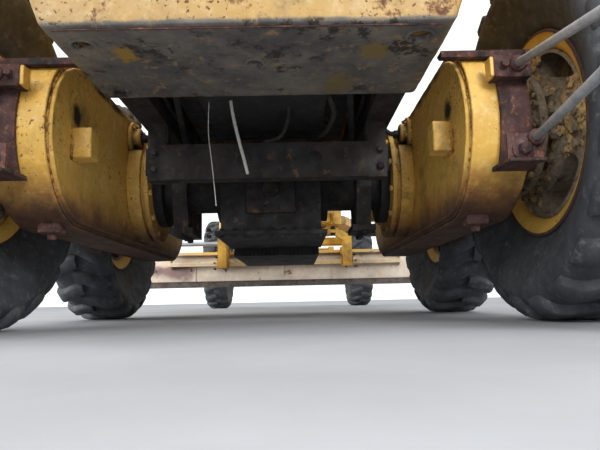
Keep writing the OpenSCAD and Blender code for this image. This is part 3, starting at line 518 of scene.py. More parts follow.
        for axis in range(3):
            i, j = (axis + 1) % 3, (axis + 2) % 3
            for end, u, v in product((0, n[axis]), range(n[i]), range(n[j])):
                face = []
                for du, dv in ((0, 0), (1, 0), (1, 1), (0, 1)):
                    k = [0, 0, 0]
                    k[axis], k[i], k[j] = end, u + du, v + dv
                    face.append(at(tuple(k)))
                self.b.faces.new(face)
        return list(got.values())

    def side_block(self, s, lo, hi, r, step):
        """A block on the side s, with its widths counted outwards."""
        y = sorted((s * lo[1], s * hi[1]))
        return self.block((lo[0], y[0], lo[2]), (hi[0], y[1], hi[2]), r, step)

    def out(self, name, body, mat=None, replaces=(), slot=None, angle=38, flip=False, at=None):
        """Makes the piece; flip mirrors it across the centre plane, at places it as a mesh round a point."""
        self.flush()
        if mat:
            self.mats = [mat]
            for f in self.b.faces:
                f.material_index = 0
        if flip:
            bmesh.ops.scale(self.b, vec=(1, -1, 1), verts=self.b.verts)
        bmesh.ops.recalc_face_normals(self.b, faces=self.b.faces)
        bmesh.ops.transform(self.b, matrix=MM if at is None else Matrix.Scale(0.001, 4), verts=self.b.verts)
        self.b.faces.layers.int.remove(self.done)
        me = bpy.data.meshes.new(name)
        self.b.to_mesh(me)
        self.b.free()
        for k in self.mats:
            me.materials.append(M[k])
        smooth(me, angle)
        o = new_object(name, me, body, replaces)
        if at is not None:
            o.location = MM @ Vector(at)
        return o


def cut(o, holes, side=1, at=None):
    """Cuts shapes out of a piece; holes is a Shape, built round at if that is given."""
    bmesh.ops.scale(holes.b, vec=(1, side, 1), verts=holes.b.verts)
    bmesh.ops.recalc_face_normals(holes.b, faces=holes.b.faces)
    bmesh.ops.transform(holes.b, matrix=MM @ Matrix.Translation(at or (0, 0, 0)), verts=holes.b.verts)
    me = bpy.data.meshes.new("cutter")
    holes.b.to_mesh(me)
    holes.b.free()
    c = link("cutter", me)
    mod = o.modifiers.new("cut", "BOOLEAN")
    mod.operation, mod.solver, mod.object = "DIFFERENCE", "EXACT", c
    bpy.context.view_layer.update()
    done = bpy.data.meshes.new_from_object(o.evaluated_get(bpy.context.evaluated_depsgraph_get()))
    o.modifiers.clear()
    done.name = o.name
    o.data = done
    bpy.data.objects.remove(c)
    smooth(done)


def around(n, r, turn=0.0):
    """n points evenly round a circle."""
    return [(r * cos(t), r * sin(t)) for t in (turn + 2 * pi * k / n for k in range(n))]


def arc(x, z, r, a0, a1, n, y):
    """Points on an arc in degrees round x, z in the upright plane y."""
    return [(x + r * cos(t), y, z + r * sin(t)) for t in
            (radians(a0 + (a1 - a0) * i / n) for i in range(n + 1))]


def curve_through(pts, n):
    """A smooth line of points through the given ones."""
    p = [Vector(pts[0])] + [Vector(q) for q in pts] + [Vector(pts[-1])]
    out = []
    for i in range(1, len(p) - 2):
        for k in range(n):
            t = k / n
            out.append(0.5 * ((2 * p[i]) + (p[i + 1] - p[i - 1]) * t
                              + (2 * p[i - 1] - 5 * p[i] + 4 * p[i + 1] - p[i + 2]) * t * t
                              + (3 * p[i] - p[i - 1] - 3 * p[i + 1] + p[i + 2]) * t ** 3))
    out.append(p[-2])
    return out


# Tandem cases
def stadium(r, y, arcs=40, line=30):
    """A ring of points round both wheel centres of a tandem, at width y."""
    turns = [pi * i / arcs for i in range(arcs)]
    steps = [(XM - XR) * i / line for i in range(line)]
    return ([(XM + r * sin(t), y, CASE_Z + r * cos(t)) for t in turns]
            + [(XM - d, y, CASE_Z - r) for d in steps]
            + [(XR - r * sin(t), y, CASE_Z - r * cos(t)) for t in turns]
            + [(XR + d, y, CASE_Z + r) for d in steps])


def lump(t, r, y, size, flat, x=0, z=0):
    """A lump for Shape.blobs, at an angle and a radius round an axle."""
    return (x + r * cos(t), y, z + r * sin(t)), size, (1, flat, 1)


def case_wall(h):
    """The case's outside, from its cover over the seam to the outer wall, dented all over."""
    walls = [(r, 650) for r in range(0, 256, 17)]
    walls += [(262, 649.5), (266, 647), (270, 645.5), (274, 646), (277, 649), (278, 654), (279, 660),
              (283, 664), (288, 664), (291, 660.5), (295, 659.5), (298.5, 661.5), (300, 666), (299.5, 673)]
    walls += [(299, 680 + i * 16) for i in range(9)]
    walls += [(300, 824), (300, 832), (298, 838), (292, 840), (270, 840), (252, 840)]
    h.loft([h.ring(stadium(r, y)) for r, y in walls], first=False)
    bmesh.ops.remove_doubles(h.b, verts=h.b.verts, dist=0.05)
    h.roughen(2.2, 120)
    h.roughen(0.7, 22)
    h.weld(stadium(282, 661, 60, 90), 4.5, 8, True)


def axle_housing(h, x):
    """The muddy housing behind a wheel, with its ring of bolts and its clay."""
    centre = (x, 0, ZC)
    h.mat("mud")
    h.lathe([(214, 838), (206, 844), (196, 852), (190, 866), (188, 900), (192, 908), (214, 911), (216, 916),
             (216, 934), (212, 938), (170, 940), (160, 952), (120, 953), (74, 954)], centre, n=72)
    h.lathe([(72, 950), (70, 960), (70, 1156), (0, 1158)], centre, n=36)
    rnd = random.Random(7)
    for p, q in around(20, 203, radians(4)):
        h.bolt((x + p, 911, ZC + q), INWARD, 22, 14, turn=rnd.uniform(0, 1))
    h.mat("clay")
    u = rnd.uniform
    h.blobs([lump(u(0, 6.3), u(180, 212), u(862, 912), u(7, 19), 0.8, x, ZC) for _ in range(60)], 3)


def make_cases():
    boss = (BOSS_X, 0, BOSS_Z)
    for s, label in SIDES:
        h = Shape().mat("case")
        case_wall(h)
        for x in (-877, 797):  # travel stops
            h.roughen(2.0, 30, h.block((x, 583, 585), (x + 80, 652, 692), 7, 14))
            h.weld([(x - 1, 649, 583), (x + 81, 649, 583), (x + 81, 649, 694), (x - 1, 649, 694)], 6, 8, True)
        h.lathe([(0, 632), (70, 632), (76, 635), (78, 640), (78, 648), (84, 651), (84, 654)], boss, n=48)
        h.lathe([(0, 603), (42, 603), (48, 608), (48, 634)], boss, n=36)
        for p, q in around(6, 63, radians(20)):
            h.bolt((BOSS_X + p, 632, BOSS_Z + q), INWARD, 17)
        h.mat("rust")
        h.roughen(1.5, 20, h.block((-857, 690, 332), (-793, 765, 372), 8, 12))  # drain lug
        h.bolt((-826, 726, 333), DOWN, 34)
        h.mat("dark")
        h.bolt((BOSS_X, 604, BOSS_Z), INWARD, 44, 22)
        h.pipe([(BOSS_X, 592, BOSS_Z), (BOSS_X, 560, BOSS_Z + 6), (BOSS_X + 10, 520, BOSS_Z + 40),
                (BOSS_X + 25, 490, BOSS_Z + 58)], 11, 12)
        for x in (XR, XM):
            axle_housing(h, x)
        h.out(f"tandem_case_{label}", "rear_body", replaces=["tandem_cases"] if s > 0 else (),
              slot="yellow_paint", flip=s < 0)


# Wheels
LUGS, TYRE_R, TYRE_HALF = 22, 664.6, 164.8


def add_lug(h, base, side):
    """A tread lug that starts at an angle near the middle and turns over the shoulder to one side."""
    pitch = 2 * pi / LUGS
    # width from the middle, turn in pitches, carcass radius, height, half width
    path = [(-14, 0.00, 630, 35, 30), (6, 0.02, 630, 35, 35), (35, 0.07, 630, 35, 36),
            (65, 0.16, 629, 35.5, 37), (92, 0.28, 627, 36, 38), (112, 0.37, 620, 38, 40),
            (128, 0.44, 611, 33, 41), (140, 0.49, 603, 27, 42), (149, 0.52, 595, 20, 42),
            (155, 0.54, 588, 12, 40), (158, 0.55, 583, 3, 34)]
    rings = []
    for i, (y, turn, low, up, w) in enumerate(path):
        t = (base + turn) * pitch
        out, along = Vector((cos(t), 0, sin(t))), Vector((-sin(t), 0, cos(t)))
        lean = min(max((i - 4) / 5, 0), 1) * 0.9  # from the tread to the sidewall
        rise = out * cos(lean) + Vector((0, side, 0)) * sin(lean)
        c = out * low + Vector((0, side * y, 0))
        half = [(w + 12, -14 if i < 6 else -10), (w + 5, up * 0.55), (w, up - 5), (w - 6, up)]
        rings.append(h.ring([c + along * a + rise * b for a, b in half + [(-a, b) for a, b in half[::-1]]]))
    h.loft(rings)


def tyre_shape():
    h = Shape().mat("tyre")
    half = [(321, 48), (343, 48), (353, 58), (363, 61), (369.5, 66), (373, 72), (380, 77), (390, 84),
            (404, 91), (420, 99), (432, 105), (438, 110), (444, 112), (460, 121), (480, 132), (505, 146),
            (528, 157), (548, 163), (562, 164.8), (574, 163), (586, 158), (598, 150), (610, 138),
            (621, 123), (629, 106), (634, 88), (637, 70), (638, 40), (638, 0)]
    h.lathe([(r, -y) for r, y in half] + half[-2::-1], (0, 0, 0), n=132, closed=True)
    for side in (1, -1):
        for k in range(LUGS):
            add_lug(h, k + (0.5 if side < 0 else 0), side)
    for v in h.b.verts:  # never beyond the solid's own size
        k = min(1, TYRE_R / hypot(v.co.x, v.co.z))
        v.co = (v.co.x * k, min(max(v.co.y, -TYRE_HALF), TYRE_HALF), v.co.z * k)
    return h


def rim_shape():
    h = Shape().mat("rim")
    rnd = random.Random(11)
    lip = [(352, 60), (362, 62), (368, 66), (368.5, 71), (366, 75), (361, 76.5), (356, 75), (352, 71)]
    dish = [(346, 68), (336, 64), (324, 59), (314, 54), (307, 49), (303, 43), (302, 36)]
    back = [(342, 54), (322, 54), (318, 42), (318, -42), (322, -54), (342, -54)]
    h.lathe([(r, -y) for r, y in lip + dish] + [(302, 0)] + dish[::-1] + lip[::-1] + back, (0, 0, 0), n=112,
            closed=True)
    h.flush()
    h.mat("lip")
    for f in h.b.faces:
        c = f.calc_center_median()
        if hypot(c.x, c.z) > 357:
            f.material_index = h.now
    h.mat("mud")
    for x, z in around(12, 156, 0.26):  # wheel nuts on their studs
        h.bolt((x, -68, z), INWARD, 38, 22, turn=rnd.uniform(0, 1))
        h.lathe([(10, -88), (10, -104), (7, -106), (0, -106)], (x, 0, z), n=10)
    for k in range(3):
        t = radians(185 + 120 * k)
        for dt in (-0.3, -0.1, 0.1, 0.3):
            x, z = 262 * cos(t + dt), 262 * sin(t + dt)
            h.bolt((x, -50, z), INWARD, 32, 14, turn=rnd.uniform(0, 1))
            h.bolt((x, 2, z), OUTWARD, 34, 20, turn=rnd.uniform(0, 1))
    h.mat("paint")  # outer hub with its cap
    h.lathe([(196, -24), (190, 10), (178, 22), (150, 26), (140, 34), (136, 90), (128, 98), (118, 100),
             (116, 122), (108, 128), (40, 129), (0, 129.5)], (0, 0, 0), n=72)
    for x, z in around(10, 92):
        h.bolt((x, 128.5, z), OUTWARD, 22, 11)
    h.mat("clay")
    u = rnd.uniform
    # packed round the outer nuts, round the hub, and caked over the spoke behind
    spots = [lump(radians(120 * rnd.randrange(3) + 185) + u(-0.5, 0.5), u(186, 296), -50, u(5, 20), 0.5)
             for _ in range(110)]
    spots += [lump(u(0, 6.3), u(118, 180), -66, u(6, 18), 0.6) for _ in range(70)]
    spots += [lump(pi + u(-0.42, 0.2), u(190, 292), u(-54, -46), u(8, 24), 0.5) for _ in range(110)]
    h.blobs(spots, 5, 0.95)
    h.mat("rubber")
    h.pipe([(0, 60, 312), (0, 74, 300), (0, 94, 292)], 5, 8)  # valve
    return h


def disc_shape():
    """The wheel disc, dished towards the machine; its windows are cut afterwards."""
    h = Shape().mat("mud")
    h.lathe([(303, -38), (299, -44), (292, -49), (278, -51), (262, -51), (206, -50), (192, -52), (184, -57),
             (177, -66), (168, -70), (74, -70), (74, -46), (150, -46), (158, -20), (166, 20), (190, 40),
             (212, 44), (262, 44), (286, 40), (303, 34)], (0, 0, 0), n=144, closed=True)
    h.flush()
    h.mat("paint")
    for f in h.b.faces:  # the outer side keeps its paint
        if f.calc_center_median().y > 25:
            f.material_index = h.now
    h.roughen(0.8, 30)
    return h


def window_shape():
    """Cutters for the disc's three windows; their outline is radius and angle."""
    h = Shape()
    w = 0.6  # half a window in radians
    edge = [(288, -w + 0.1 + i * (w - 0.1) / 6) for i in range(13)]
    edge += [(280, w - 0.03), (262, w), (230, w), (212, w - 0.03)]
    edge += [(204, w - 0.1 - i * (w - 0.1) / 4) for i in range(9)]
    edge += [(212, 0.03 - w), (230, -w), (262, -w), (280, 0.03 - w)]
    for k in range(3):
        t = radians(125 + 120 * k)
        h.prism([(r * cos(t + a), -70, r * sin(t + a)) for r, a in edge], (0, 94, 0))
    return h


def make_wheels():
    """Builds each side's rear wheel; the other two share its meshes."""
    kinds = (("tyre", tyre_shape, "tyre", 50), ("rim", rim_shape, "yellow_paint", 38),
             ("disc", disc_shape, "yellow_paint", 38))
    for s, label in SIDES:
        first = {}
        for end, x in (("rear", XR), ("mid", XM), ("front", XF)):
            at, body = (x, s * WHEEL_Y, ZC), f"wheel_{end}_{label}_body"
            for kind, shape, slot, angle in kinds:
                name = f"{kind}_piece_{end}_{label}"
                node = [f"{kind}_{end}_{label}"] if kind != "disc" else ()
                if kind in first:
                    new_object(name, first[kind].data, body, node).location = MM @ Vector(at)
                    continue
                o = first[kind] = shape().out(name, body, None, node, slot, angle, s < 0, at)
                if kind == "disc":
                    cut(o, window_shape(), s, at)


# Bumper
HOLES = ((103, 435, 28), (79, -434, 30), (432, 441, 24), (225, 0, 20))  # from the back, y, radius
# Dents in the back: y, z, half width, half height, depth
DENTS = ((-330, 800, 90, 60, 7), (60, 930, 130, 70, 5), (260, 800, 70, 70, 6),
         (-120, 850, 90, 90, 5), (420, 850, 60, 90, 7), (-430, 960, 80, 60, 6))


def make_bumper():
    h = Shape().mat("bumper")

    def wide(x, y, z):
        return x, y * (1 + 0.1858 * min(max((z - BUMPER_LOW) / 255, 0), 1)), z

    h.block((BUMPER_BACK, -506, BUMPER_LOW), (BUMPER_FRONT, 506, 1050), 14, 22, wide)
    for v in h.b.verts:
        x, y, z = v.co
        if x < BUMPER_BACK + 19:
            v.co.x += sum(depth * exp(-(((y - cy) / ry) ** 2 + ((z - cz) / rz) ** 2))
                          for cy, cz, ry, rz, depth in DENTS)
        if z < BUMPER_LOW + 15:
            v.co.z += 3 * exp(-(((x + 1330) / 70) ** 2 + ((y + 120) / 120) ** 2))
    h.roughen(1.6, 90)
    h.roughen(0.8, 20)
    o = h.out("bumper", "rear_body", replaces=["counterweight"], slot="yellow_paint")
    holes = Shape().mat("dark")
    h = Shape().mat("bumper")
    for x, y, r in HOLES:
        at = (BUMPER_BACK + x, y, 0)
        holes.lathe([(0, 740), (r, 740), (r, 875), (0, 875)], at, UP, 48)
        h.lathe([(r - 0.5, 770), (r - 0.5, 752), (r + 1, 750), (r + 5, 749.5), (r + 9, 751), (r + 10, 757)],
                at, UP, 48)
    cut(o, holes)
    h.mat("rust")
    h.weld([(BUMPER_BACK + 19, y + 2 * sin(y * 0.05), 754) for y in range(-480, 481, 40)], 3.5, 9)
    h.out("bumper_rims", "rear_body", slot="yellow_paint")


# Brackets, pipes and what hangs under the rear
def make_bracket_parts():
    for s, label in SIDES:
        h = Shape().mat("rust")
        h.bolts([-1100], (755, 812), [792], BACK, 26)
        eye = (-1150, 775, 512)
        h.bolt(eye, BACK, 40, 20)
        h.lathe([(0, 0), (34, 0), (34, 5), (30, 7), (0, 7)], eye, BACK, 28)
        # strap ends and their welds
        h.weld([(-1099, 727, 757), (-1099, 836, 757)], 5, 8)
        h.weld([(-1149, 730, 480), (-1149, 834, 480)], 5, 8)
        h.roughen(1.5, 20, h.block((-1166, 728, 472), (-1146, 836, 484), 4, 16))
        # collars where the pipes meet their plates
        for start, end in (((-1100, 795, 795), (-1725, 714, 635)), ((-1150, 812, 545), (-1725, 700, 511))):
            h.lathe([(13, 2), (22, 2), (24, 5), (24, 14), (21, 18), (12, 20)], start,
                    Vector(end) - Vector(start), 28)
        h.mat("case")
        h.block((-1098, 712, 757), (-1052, 727, 821), 4, 20)
        h.out(f"bracket_parts_{label}", "rear_body", slot="rust_paint", flip=s < 0)


def make_under():
    h = Shape().mat("dark")
    h.roughen(2, 60, h.block((-880, -235, 803), (-310, 235, 856), 20, 40))  # oil pan
    for s in (1, -1):
        h.bolts(range(-840, -300, 90), [s * 246], [851], DOWN, 20)
        h.side_block(s, (-560, 473, 590), (-480, 483, 702), 3, 20)
        h.bolts([-561], [s * 448], (612, 680), BACK, 26)
    for y in (90, -185):  # worn stubs on the crossmember
        h.lathe([(0, 2), (28, 2), (31, 0), (31, -3)], (-560, y, 648), BACK, 28)
    for s in (1, -1):
        h.weld([(-560, s * 398, 720), (-560, s * 398, 790)], 6, 8)
        h.pipe([(-900, s * 300, 835), (-640, s * 330, 800), (-420, s * 350, 770), (-150, s * 360, 745),
                (60, s * 330, 700), (150, s * 260, 640)], 13)
        h.pipe([(-920, s * 372, 880), (-600, s * 378, 850), (-300, s * 384, 872), (0, s * 384, 850),
                (340, s * 370, 862), (700, s * 384, 870)], 9, 8)
        h.bolts((-130, -45, 45, 130), [s * 431], [412], DOWN, 30)
    for y in range(-270, 271, 54):
        h.bolt((-306, y, 378), DOWN, 19)
        h.bolt((-306, y, 395), UP, 19)
    h.mat("frame_dark")
    h.block((-318, -110, 470), (-296, 110, 690), 10, 30)  # cover on the case's back
    for p, q in around(10, 92):
        h.bolt((-318, p, 580 + q), BACK, 17)
    h.lathe([(0, 22), (34, 22), (38, 18), (40, 0)], (-318, 0, 580), BACK, 32)
    for y in range(-222, 219, 22):  # ribs under the front case
        h.block((342, y, 340), (352, y + 11, 376), 2, 20)
    h.pipe([(-760, -230, 850), (-700, -260, 790), (-600, -240, 752), (-470, -200, 745),
            (-330, -170, 712)], 11)
    h.pipe([(-820, -60, 850), (-700, -90, 800), (-600, -60, 735), (-545, 20, 722), (-480, 60, 740)], 8, 8)
    h.mat("rust")
    h.block((-420, -180, 716), (-408, 190, 770), 3, 40)
    h.out("under_parts", "rear_body", slot="dark_paint")


def make_hoses():
    path = [(-800, 118, 850), (-800, 118, 825), (-800, 116, 800), (-799, 113, 775), (-799, 109, 750),
            (-798, 104, 725), (-798, 99, 700), (-798, 93, 675), (-798, 87, 650), (-798, 81, 625),
            (-799, 74, 600), (-799, 68, 575), (-800, 62, 550), (-800, 58, 534)]
    h = Shape()
    line = curve_through(path, 3)
    h.tube(line, 5.9, 20, cap=False)
    h.tube(line[::-1], 4.2, 20, cap=False)
    for e in (0, -1):
        bmesh.ops.bridge_loops(h.b, edges=[x for x in h.b.edges if x.is_boundary and all(
            (v.co - line[e]).length < 8 for v in x.verts)])
    h.out("drain_hose_piece", "rear_body", "hose", ["drain_hose"], "rubber")
    wire = [(-790, 196, 806), (-789, 198, 760), (-786, 199, 715), (-790, 197, 670), (-795, 191, 625),
            (-792, 186, 580), (-785, 182, 535), (-788, 177, 490), (-794, 173, 455), (-790, 171, 424)]
    o = Shape().pipe(wire, 1.6, 8, 4).out("hanging_wire", "rear_body", "hose", slot="rubber")


# Blade and circle
def back_x(z, r=281):
    """Where the blade's back is at a height."""
    return ROLL_X - sqrt(r * r - (z - ROLL_Z) ** 2)


def blade_plate(h, y0, y1):
    """A plate that follows the blade's back, welded along both ends."""
    zs = [360 + i * 10 for i in range(11)]
    h.loft([h.ring([(back_x(z) + x, y, z) for x, y in ((-9, y0), (-9, y1), (4, y1), (4, y0))]) for z in zs])
    for y in (y0, y1):
        h.weld([(back_x(z) - 3, y, z) for z in zs], 5, 8)


def make_blade_parts():
    h = Shape().mat("blade")
    h.bolts([back_x(425) + 1], (1366, 1001, 640, -775, -1124, -1480), [425], BACK, 26)
    for y0, y1 in ((17, 165), (-1700, -1560), (1560, 1700)):
        blade_plate(h, y0, y1)
    for y in (-468, 940):
        h.weld([(back_x(z) - 1, y, z) for z in range(312, 452, 12)], 5, 8)
    h.mat("steel")
    for k in range(24):  # bolts of the cutting edge
        h.lathe([(0, -6), (17, -6), (19, -3), (19, 0)], (back_x(284, 262) + 22, k * 155 - 1783, 283),
                (1, 0, 0.05), 20)
    h.mat("paint_low")
    for s in (1, -1):
        for x0, x1, z0 in ((3100, 3128, 505), (3128, 3162, 440)):
            h.prism([(x, s * 1196, z) for x, z in ((x0, z0), (x1, z0), (x1, 585), (x0, 585))],
                    (0, -s * 14, 0), 2)
        h.side_block(s, (3170, 1847, 250), (3230, 1853, 600), 2, 40)
    h.out("blade_parts", "blade_body", slot="worn_edge")


def make_circle_parts():
    h = Shape().mat("dark")
    for s in (1, -1):
        for x, z in ((3050, 452), (3112, 452), (3050, 512), (3112, 512), (3150, 580), (3210, 580)):
            h.bolts([x], (s * 632, s * 728), [z - 14], DOWN, 22)
    h.out("clamp_bolts", "circle_body", slot="dark_paint")
    h = Shape().mat("paint_low")
    teeth, centre = 72, 3400  # gear ring inside the circle
    rings = []
    for z in (868, 942):
        inner = [(594 if i // 2 % 2 else 611, pi * (i + (0.3 if i % 2 else -0.3)) / teeth)
                 for i in range(teeth * 2)]
        rings.append(h.ring([(centre + r * cos(t), r * sin(t), z) for r, t in inner]))
        rings.append(h.ring([(centre + p, q, z) for p, q in around(teeth * 2, 640)]))
    for a, b in ((0, 1), (2, 3), (0, 2)):
        h.skin(rings[a], rings[b])
    h.out("circle_teeth", "circle_body", slot="yellow_paint", angle=25)


# Hood
def make_hood_parts():
    h = Shape().mat("hood")
    for s in (1, -1):
        for x0, x1 in ((-1375, -770), (-758, -140), (-128, 605)):  # upright and sloping panels
            h.side_block(s, (x0, HOOD_Y, 1075), (x1, HOOD_Y + 7, 1775), 6, 30)
            h.prism([(x0 + 8, s * y, z) for y, z in ((557, 1815), (563, 1818), (418, 2019), (411, 2016))],
                    (x1 - x0 - 16, 0, 0), 2)
        for x in (-1290, -680):  # louvres
            for z in range(1190, 1631, 44):
                h.prism([(x, s * 563, z), (x, s * 579, z - 4), (x, s * 581, z + 2), (x, s * 563, z + 26)],
                        (450, 0, 0), 2)
        h.side_block(s, (80, 563, 1180), (480, 569, 1560), 8, 30)
    h.block((-1100, -300, 2027), (-700, 120, 2036), 6, 40)
    h.block((-380, -180, 2027), (420, 120, 2036), 6, 40)
    h.mat("dark")
    for s in (1, -1):
        for x in (-810, -720, -180, -90, 560):  # latches
            h.side_block(s, (x - 14, 563, 1400), (x + 14, 578, 1470), 5, 20)
            h.bolt((x, s * 577, 1455), (0, s, 0), 15, 5)
        for x in (-1290, -900, -640, -260, 0, 480):  # hinges
            h.tube([(x - 45, s * 564, 1790), (x + 45, s * 564, 1790)], 8, 12)
        rail = s * 470
        h.tube([(-1300, rail, 2030)] + arc(-1250, 2040, 50, 180, 90, 4, rail)
               + arc(400, 2040, 50, 90, 0, 4, rail) + [(450, rail, 1990)], 11)
    pipe_x, pipe_y, filter_x, filter_y = -150, 250, -500, -220  # exhaust and air filter
    for z in (2075, 2400):  # clamps round the silencer
        h.lathe([(90, 0), (96, 0), (96, 26), (90, 26)], (pipe_x, pipe_y, z), UP, 40)
    h.lathe([(38, 2790), (46, 2786), (48, 2760), (40, 2756)], (pipe_x, pipe_y, 0), UP, 32)
    h.lathe([(0, 2466), (100, 2464), (122, 2452), (126, 2436), (126, 2424), (120, 2420)],
            (filter_x, filter_y, 0), UP, 40)
    for p, q in around(24, 121):
        h.tube([(filter_x + p, filter_y + q, z) for z in (2305, 2420)], 4, 6)
    h.mat("rust")
    for p, q in around(16, 93):  # pierced heat shield
        h.tube([(pipe_x + p, pipe_y + q, z) for z in (2110, 2395)], 5, 6)
    h.mat("hood")
    for s in (1, -1):
        h.bolts([-1432], [s * 470], (1075, 1890), BACK, 26)
    h.block((-1440, -60, 1880), (-1428, 60, 1960), 4, 20)
    h.mat("dark")
    h.tube([(-1432, -40, 1500), (-1462, -40, 1510), (-1462, -40, 1640), (-1432, -40, 1650)], 8)
    h.out("hood_parts", "rear_body", slot="yellow_paint")


# Cab
def seal(h, axis, at, lo, hi):
    """A rubber seal round a window: a rounded frame with a raised bead, in the plane axis = at."""
    r, width, bead = 26, 14, 5
    corners = ((hi[0] - r, hi[1] - r, 0), (lo[0] + r, hi[1] - r, 90),
               (lo[0] + r, lo[1] + r, 180), (hi[0] - r, lo[1] + r, 270))

    def loop(k):
        pts = []
        for cx, cy, start in corners:
            for t in (radians(start + i * 18) for i in range(6)):
                p, q = cx + (r + k) * cos(t), cy + (r + k) * sin(t)
                pts.append((at, p, q) if axis == "x" else (p, at, q))
        return pts + pts[:2]

    h.tube(loop(0), width / 2, 8, False)
    h.tube(loop(-width), bead, 6, False)


def make_cab_parts():
    lamp_z, lamps = 3180, [(x, y, d) for y in (250, 480) for x, d in ((2150, 1), (622, -1))]  # work lamps
    h = Shape().mat("rubber")
    for pane in (((-540, 2000), (540, 3000)), ((-540, 1420), (-140, 1940)), ((140, 1420), (540, 1940))):
        seal(h, "x", CAB_FRONT, *pane)
    seal(h, "x", CAB_BACK, (-540, 2100), (540, 3000))
    for x, d in ((CAB_FRONT + 6, 1), (CAB_BACK - 6, -1)):  # wipers
        h.tube([(x, 0, 2085), (x + d * 14, 30, 2110), (x + d * 12, 170, 2500)], 6, 8)
        h.tube([(x + d * 6, 150, 2180), (x + d * 6, 205, 2780)], 7, 6)
        h.lathe([(0, 18), (18, 18), (24, 10), (24, -4)], (x, 0, 2085), (d, 0, 0), 24)
    for s in (1, -1):
        for z in (585, 805, 1025):  # ribs on the steps
            for y in range(612, 821, 26):
                h.tube([(1300, s * y, z + 2), (1490, s * y, z + 2)], 4, 6)
        h.tube([(612, s * 668, 3128), (2168, s * 668, 3128)], 9, 8)  # roof gutter
    h.mat("dark")
    for s in (1, -1):
        h.pipe([(x, s * 600, z) for x, z in ((2060, 1500), (2110, 1530), (2112, 2300), (2060, 2330))],
               14, fine=6)
        h.pipe([(2054, s * 630, 2600), (2110, s * 760, 2620), (2130, s * 850, 2600), (2130, s * 862, 2440)],
               10, fine=6)
        h.roughen(1, 50, h.side_block(s, (2110, 772, 2220), (2142, 952, 2560), 14, 30))  # mirror
        for x, y, d in lamps:
            h.lathe([(0, -50), (40, -48), (58, -30), (64, 0), (64, 8), (58, 12)], (x, s * y, lamp_z),
                    (d, 0, 0), 36)
    h.lathe([(0, 3), (70, 3), (74, 0), (74, -6)], (1300, 0, 3246), UP, 40)
    h.mat("lamp_white")
    for s in (1, -1):
        for x, y, d in lamps:
            h.lathe([(0, 9), (30, 8), (58, 4)], (x, s * y, lamp_z), (d, 0, 0), 36)
    h.out("cab_parts", "rear_body", slot="dark_paint")


def make_door_parts():
    for s, label in SIDES:
        h = Shape().mat("rubber")
        for lo, hi in (((846, 1966), (1854, 2914)), ((1066, 1486), (1854, 1906))):
            seal(h, "y", 652, lo, hi)
        h.mat("dark")
        h.block((1770, 648, 1925), (1900, 660, 1955), 6, 20)  # handle in its recess plate
        h.pipe([(1790, 658, 1940), (1800, 684, 1940), (1870, 684, 1940), (1880, 658, 1940)], 9, fine=5)
        h.pipe([(800, 652, 1560), (800, 700, 1590), (800, 700, 2290), (800, 652, 2320)], 13, fine=6)
        for z in (1560, 2320):
            h.lathe([(0, 8), (26, 8), (30, 3), (30, -2)], (800, 651, z), OUTWARD, 20)
        h.mat("paint")
        h.block((772, 646, 1412), (1928, 654, 1470), 4, 40)
        h.out(f"door_parts_{label}", f"door_{label}_body", slot="dark_paint", flip=s < 0)


def pad(name, lo, hi, crown, grooves, tilt=0.0):
    """A cushion: domed, creased along its grooves and drawn in at its corners."""
    h = Shape()
    centre = [(a + b) / 2 for a, b in zip(lo, hi)]
    half = [(b - a) / 2 for a, b in zip(lo, hi)]
    thick = half.index(min(half))
    long = 2 - thick

    def puff(x, y, z):
        p = [x, y, z]
        part = [(a - c) / b for a, b, c in zip(p, half, centre)]
        u, v, w = part
        side, end = part[thick], part[long]
        p[thick] += side * crown * ((1 - v * v) * (1 - end * end) - 0.55)
        p[thick] -= side * sum(9 * exp(-((y - g) / 9) ** 2) for g in grooves)
        if thick:
            p[0] -= u * 9 * (1 - abs(w)) * v * v
        p[1] -= v * 8 * (1 - abs(side)) * end * end
        p[0] += (p[2] - lo[2]) * tilt
        return p

    h.block(lo, hi, min(half) * 0.75, 13, puff)
    h.roughen(1.2, 60)
    h.out(name, "rear_body", "vinyl", slot="seat_cloth", angle=80)


def make_seat():
    pad("seat_cushion", (845, -245, 1612), (1325, 245, 1716), 34, (-150, -75, 0, 75, 150))
    pad("seat_back", (842, -232, 1722), (950, 232, 2330), 36, (-140, -70, 0, 70, 140), -0.13)
    h = Shape().mat("dark")
    h.block((880, -200, 1311), (1075, 200, 1340), 8, 30)
    h.block((850, -235, 1578), (1310, 235, 1612), 12, 30)
    h.mat("rubber")
    corners = ((-1, -0.9), (-0.9, -1), (0.9, -1), (1, -0.9), (1, 0.9), (0.9, 1), (-0.9, 1), (-1, 0.9))
    rings = []
    for i in range(13):  # bellows over the suspension
        k = 12 if i % 2 else 0
        rings.append(h.ring([(980 + (85 + k) * a, (170 + k) * b, 1340 + i * 20) for a, b in corners]))
    h.loft(rings, False, False)
    h.mat("vinyl")
    for s in (1, -1):
        h.side_block(s, (900, 234, 1850), (1190, 290, 1892), 16, 24)
    h.mat("dark")
    for s in (1, -1):
        h.tube([(870, s * 240, 1700), (900, s * 262, 1850)], 12)
    h.out("seat_base", "rear_body", replaces=["seat"], slot="dark_paint")


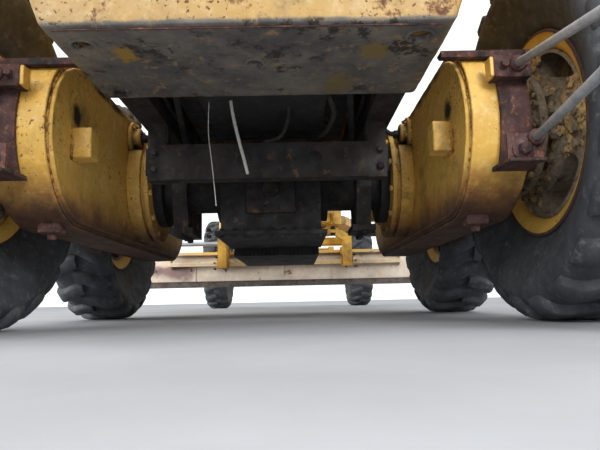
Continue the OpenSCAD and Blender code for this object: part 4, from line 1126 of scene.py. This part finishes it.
# Front frame
def make_front_parts():
    h = Shape().mat("rubber")
    for s in (-1, 1):  # hoses along the frame
        for k in range(3):
            z, y = 1800 + k * 32, s * 162
            h.pipe([(2500, s * 130, 1120 + k * 30), (2600, s * 160, 1250), (2650, y, z - 60), (2800, y, z),
                    (3300, y, z), (4100, y, z), (4500, y, z - 120)], 11, 8)
    h.mat("dark")
    for s in (1, -1):
        for x in (2750, 3550, 4000, 4400):
            z = 1832 if x < 4300 else 1742
            h.side_block(s, (x - 18, 150, z - 56), (x + 18, 182, z + 56), 5, 20)
            h.bolt((x, s * 182, z), (0, s, 0), 18)
        h.bolts((3180, 3240, 3300), [s * 466], (1998, 2024), (0, s, 0), 24)
        h.bolts([6721], (s * 300, s * 420), (800, 1140), BACK, 34)
    h.lathe([(110, 5), (118, 0), (118, -4)], (2350, 0, 1204), UP, 40)
    h.mat("paint")
    for s in (1, -1):
        h.weld([(3150, s * 515, 2062), (3330, s * 515, 2062)], 6, 10)
        h.prism([(5750, s * y, z) for y, z in ((150, 1290), (240, 1180), (240, 1165), (150, 1150))],
                (300, 0, 0), 3)
        h.lathe([(70, -60), (80, -58), (80, 12), (74, 20), (70, 18)], (6746, s * 360, 1268), AHEAD, 40)
    h.block((4300, -120, 1870), (4400, 120, 2003), 8, 30)
    h.out("front_parts", "front_body", slot="dark_paint")


# Floor, sky and lights
def make_stage():
    w = 60  # half the floor's width
    me = bpy.data.meshes.new("floor")
    me.from_pydata([(-w, -w, 0), (w, -w, 0), (w, w, 0), (-w, w, 0)], [], [(0, 1, 2, 3)])
    floor = link("floor", me)
    m = Mat("floor_concrete")
    col = m.mix(m.noise(0.8, 5, 0.6, lo=0.3, hi=0.7), (162, 163, 166), (146, 147, 150))
    rough = m.band(m.noise(3, 4), 0.2, 0.8, 0.75, 0.9)
    me.materials.append(m.finish(col, rough, m.noise(40, 5), 0.15, 0.004))
    world = bpy.data.worlds.new("sky")
    bpy.context.scene.world = world
    world.use_nodes = True
    sky = world.node_tree.nodes["Background"].inputs
    sky["Color"].default_value = (0.95, 0.98, 1, 1)
    sky["Strength"].default_value = 1.35
    for name, place, aim, size, power in (
            ("key", (-9, -2.4, 3.6), (-3.5, -0.7, 0.6), 2.5, 330),
            ("fill", (-9, 2.6, 3.6), (-3.5, 0.7, 0.6), 3, 190),
            ("side", (-3, 9, 2), (0.7, 0, 0.4), 4, 700)):
        light = bpy.data.lights.new(name, "AREA")
        light.shape, light.size, light.energy = "DISK", size, power
        o = link(name, light)
        o.location = place
        o.rotation_mode = "QUATERNION"
        o.rotation_quaternion = (Vector(aim) - Vector(place)).to_track_quat("-Z", "Y")
    bpy.context.scene.view_settings.view_transform = "Standard"


for make in (make_cases, make_wheels, make_bumper, make_bracket_parts, make_under, make_hoses,
             make_blade_parts, make_circle_parts, make_hood_parts, make_cab_parts, make_door_parts, make_seat,
             make_front_parts, make_stage):
    make()
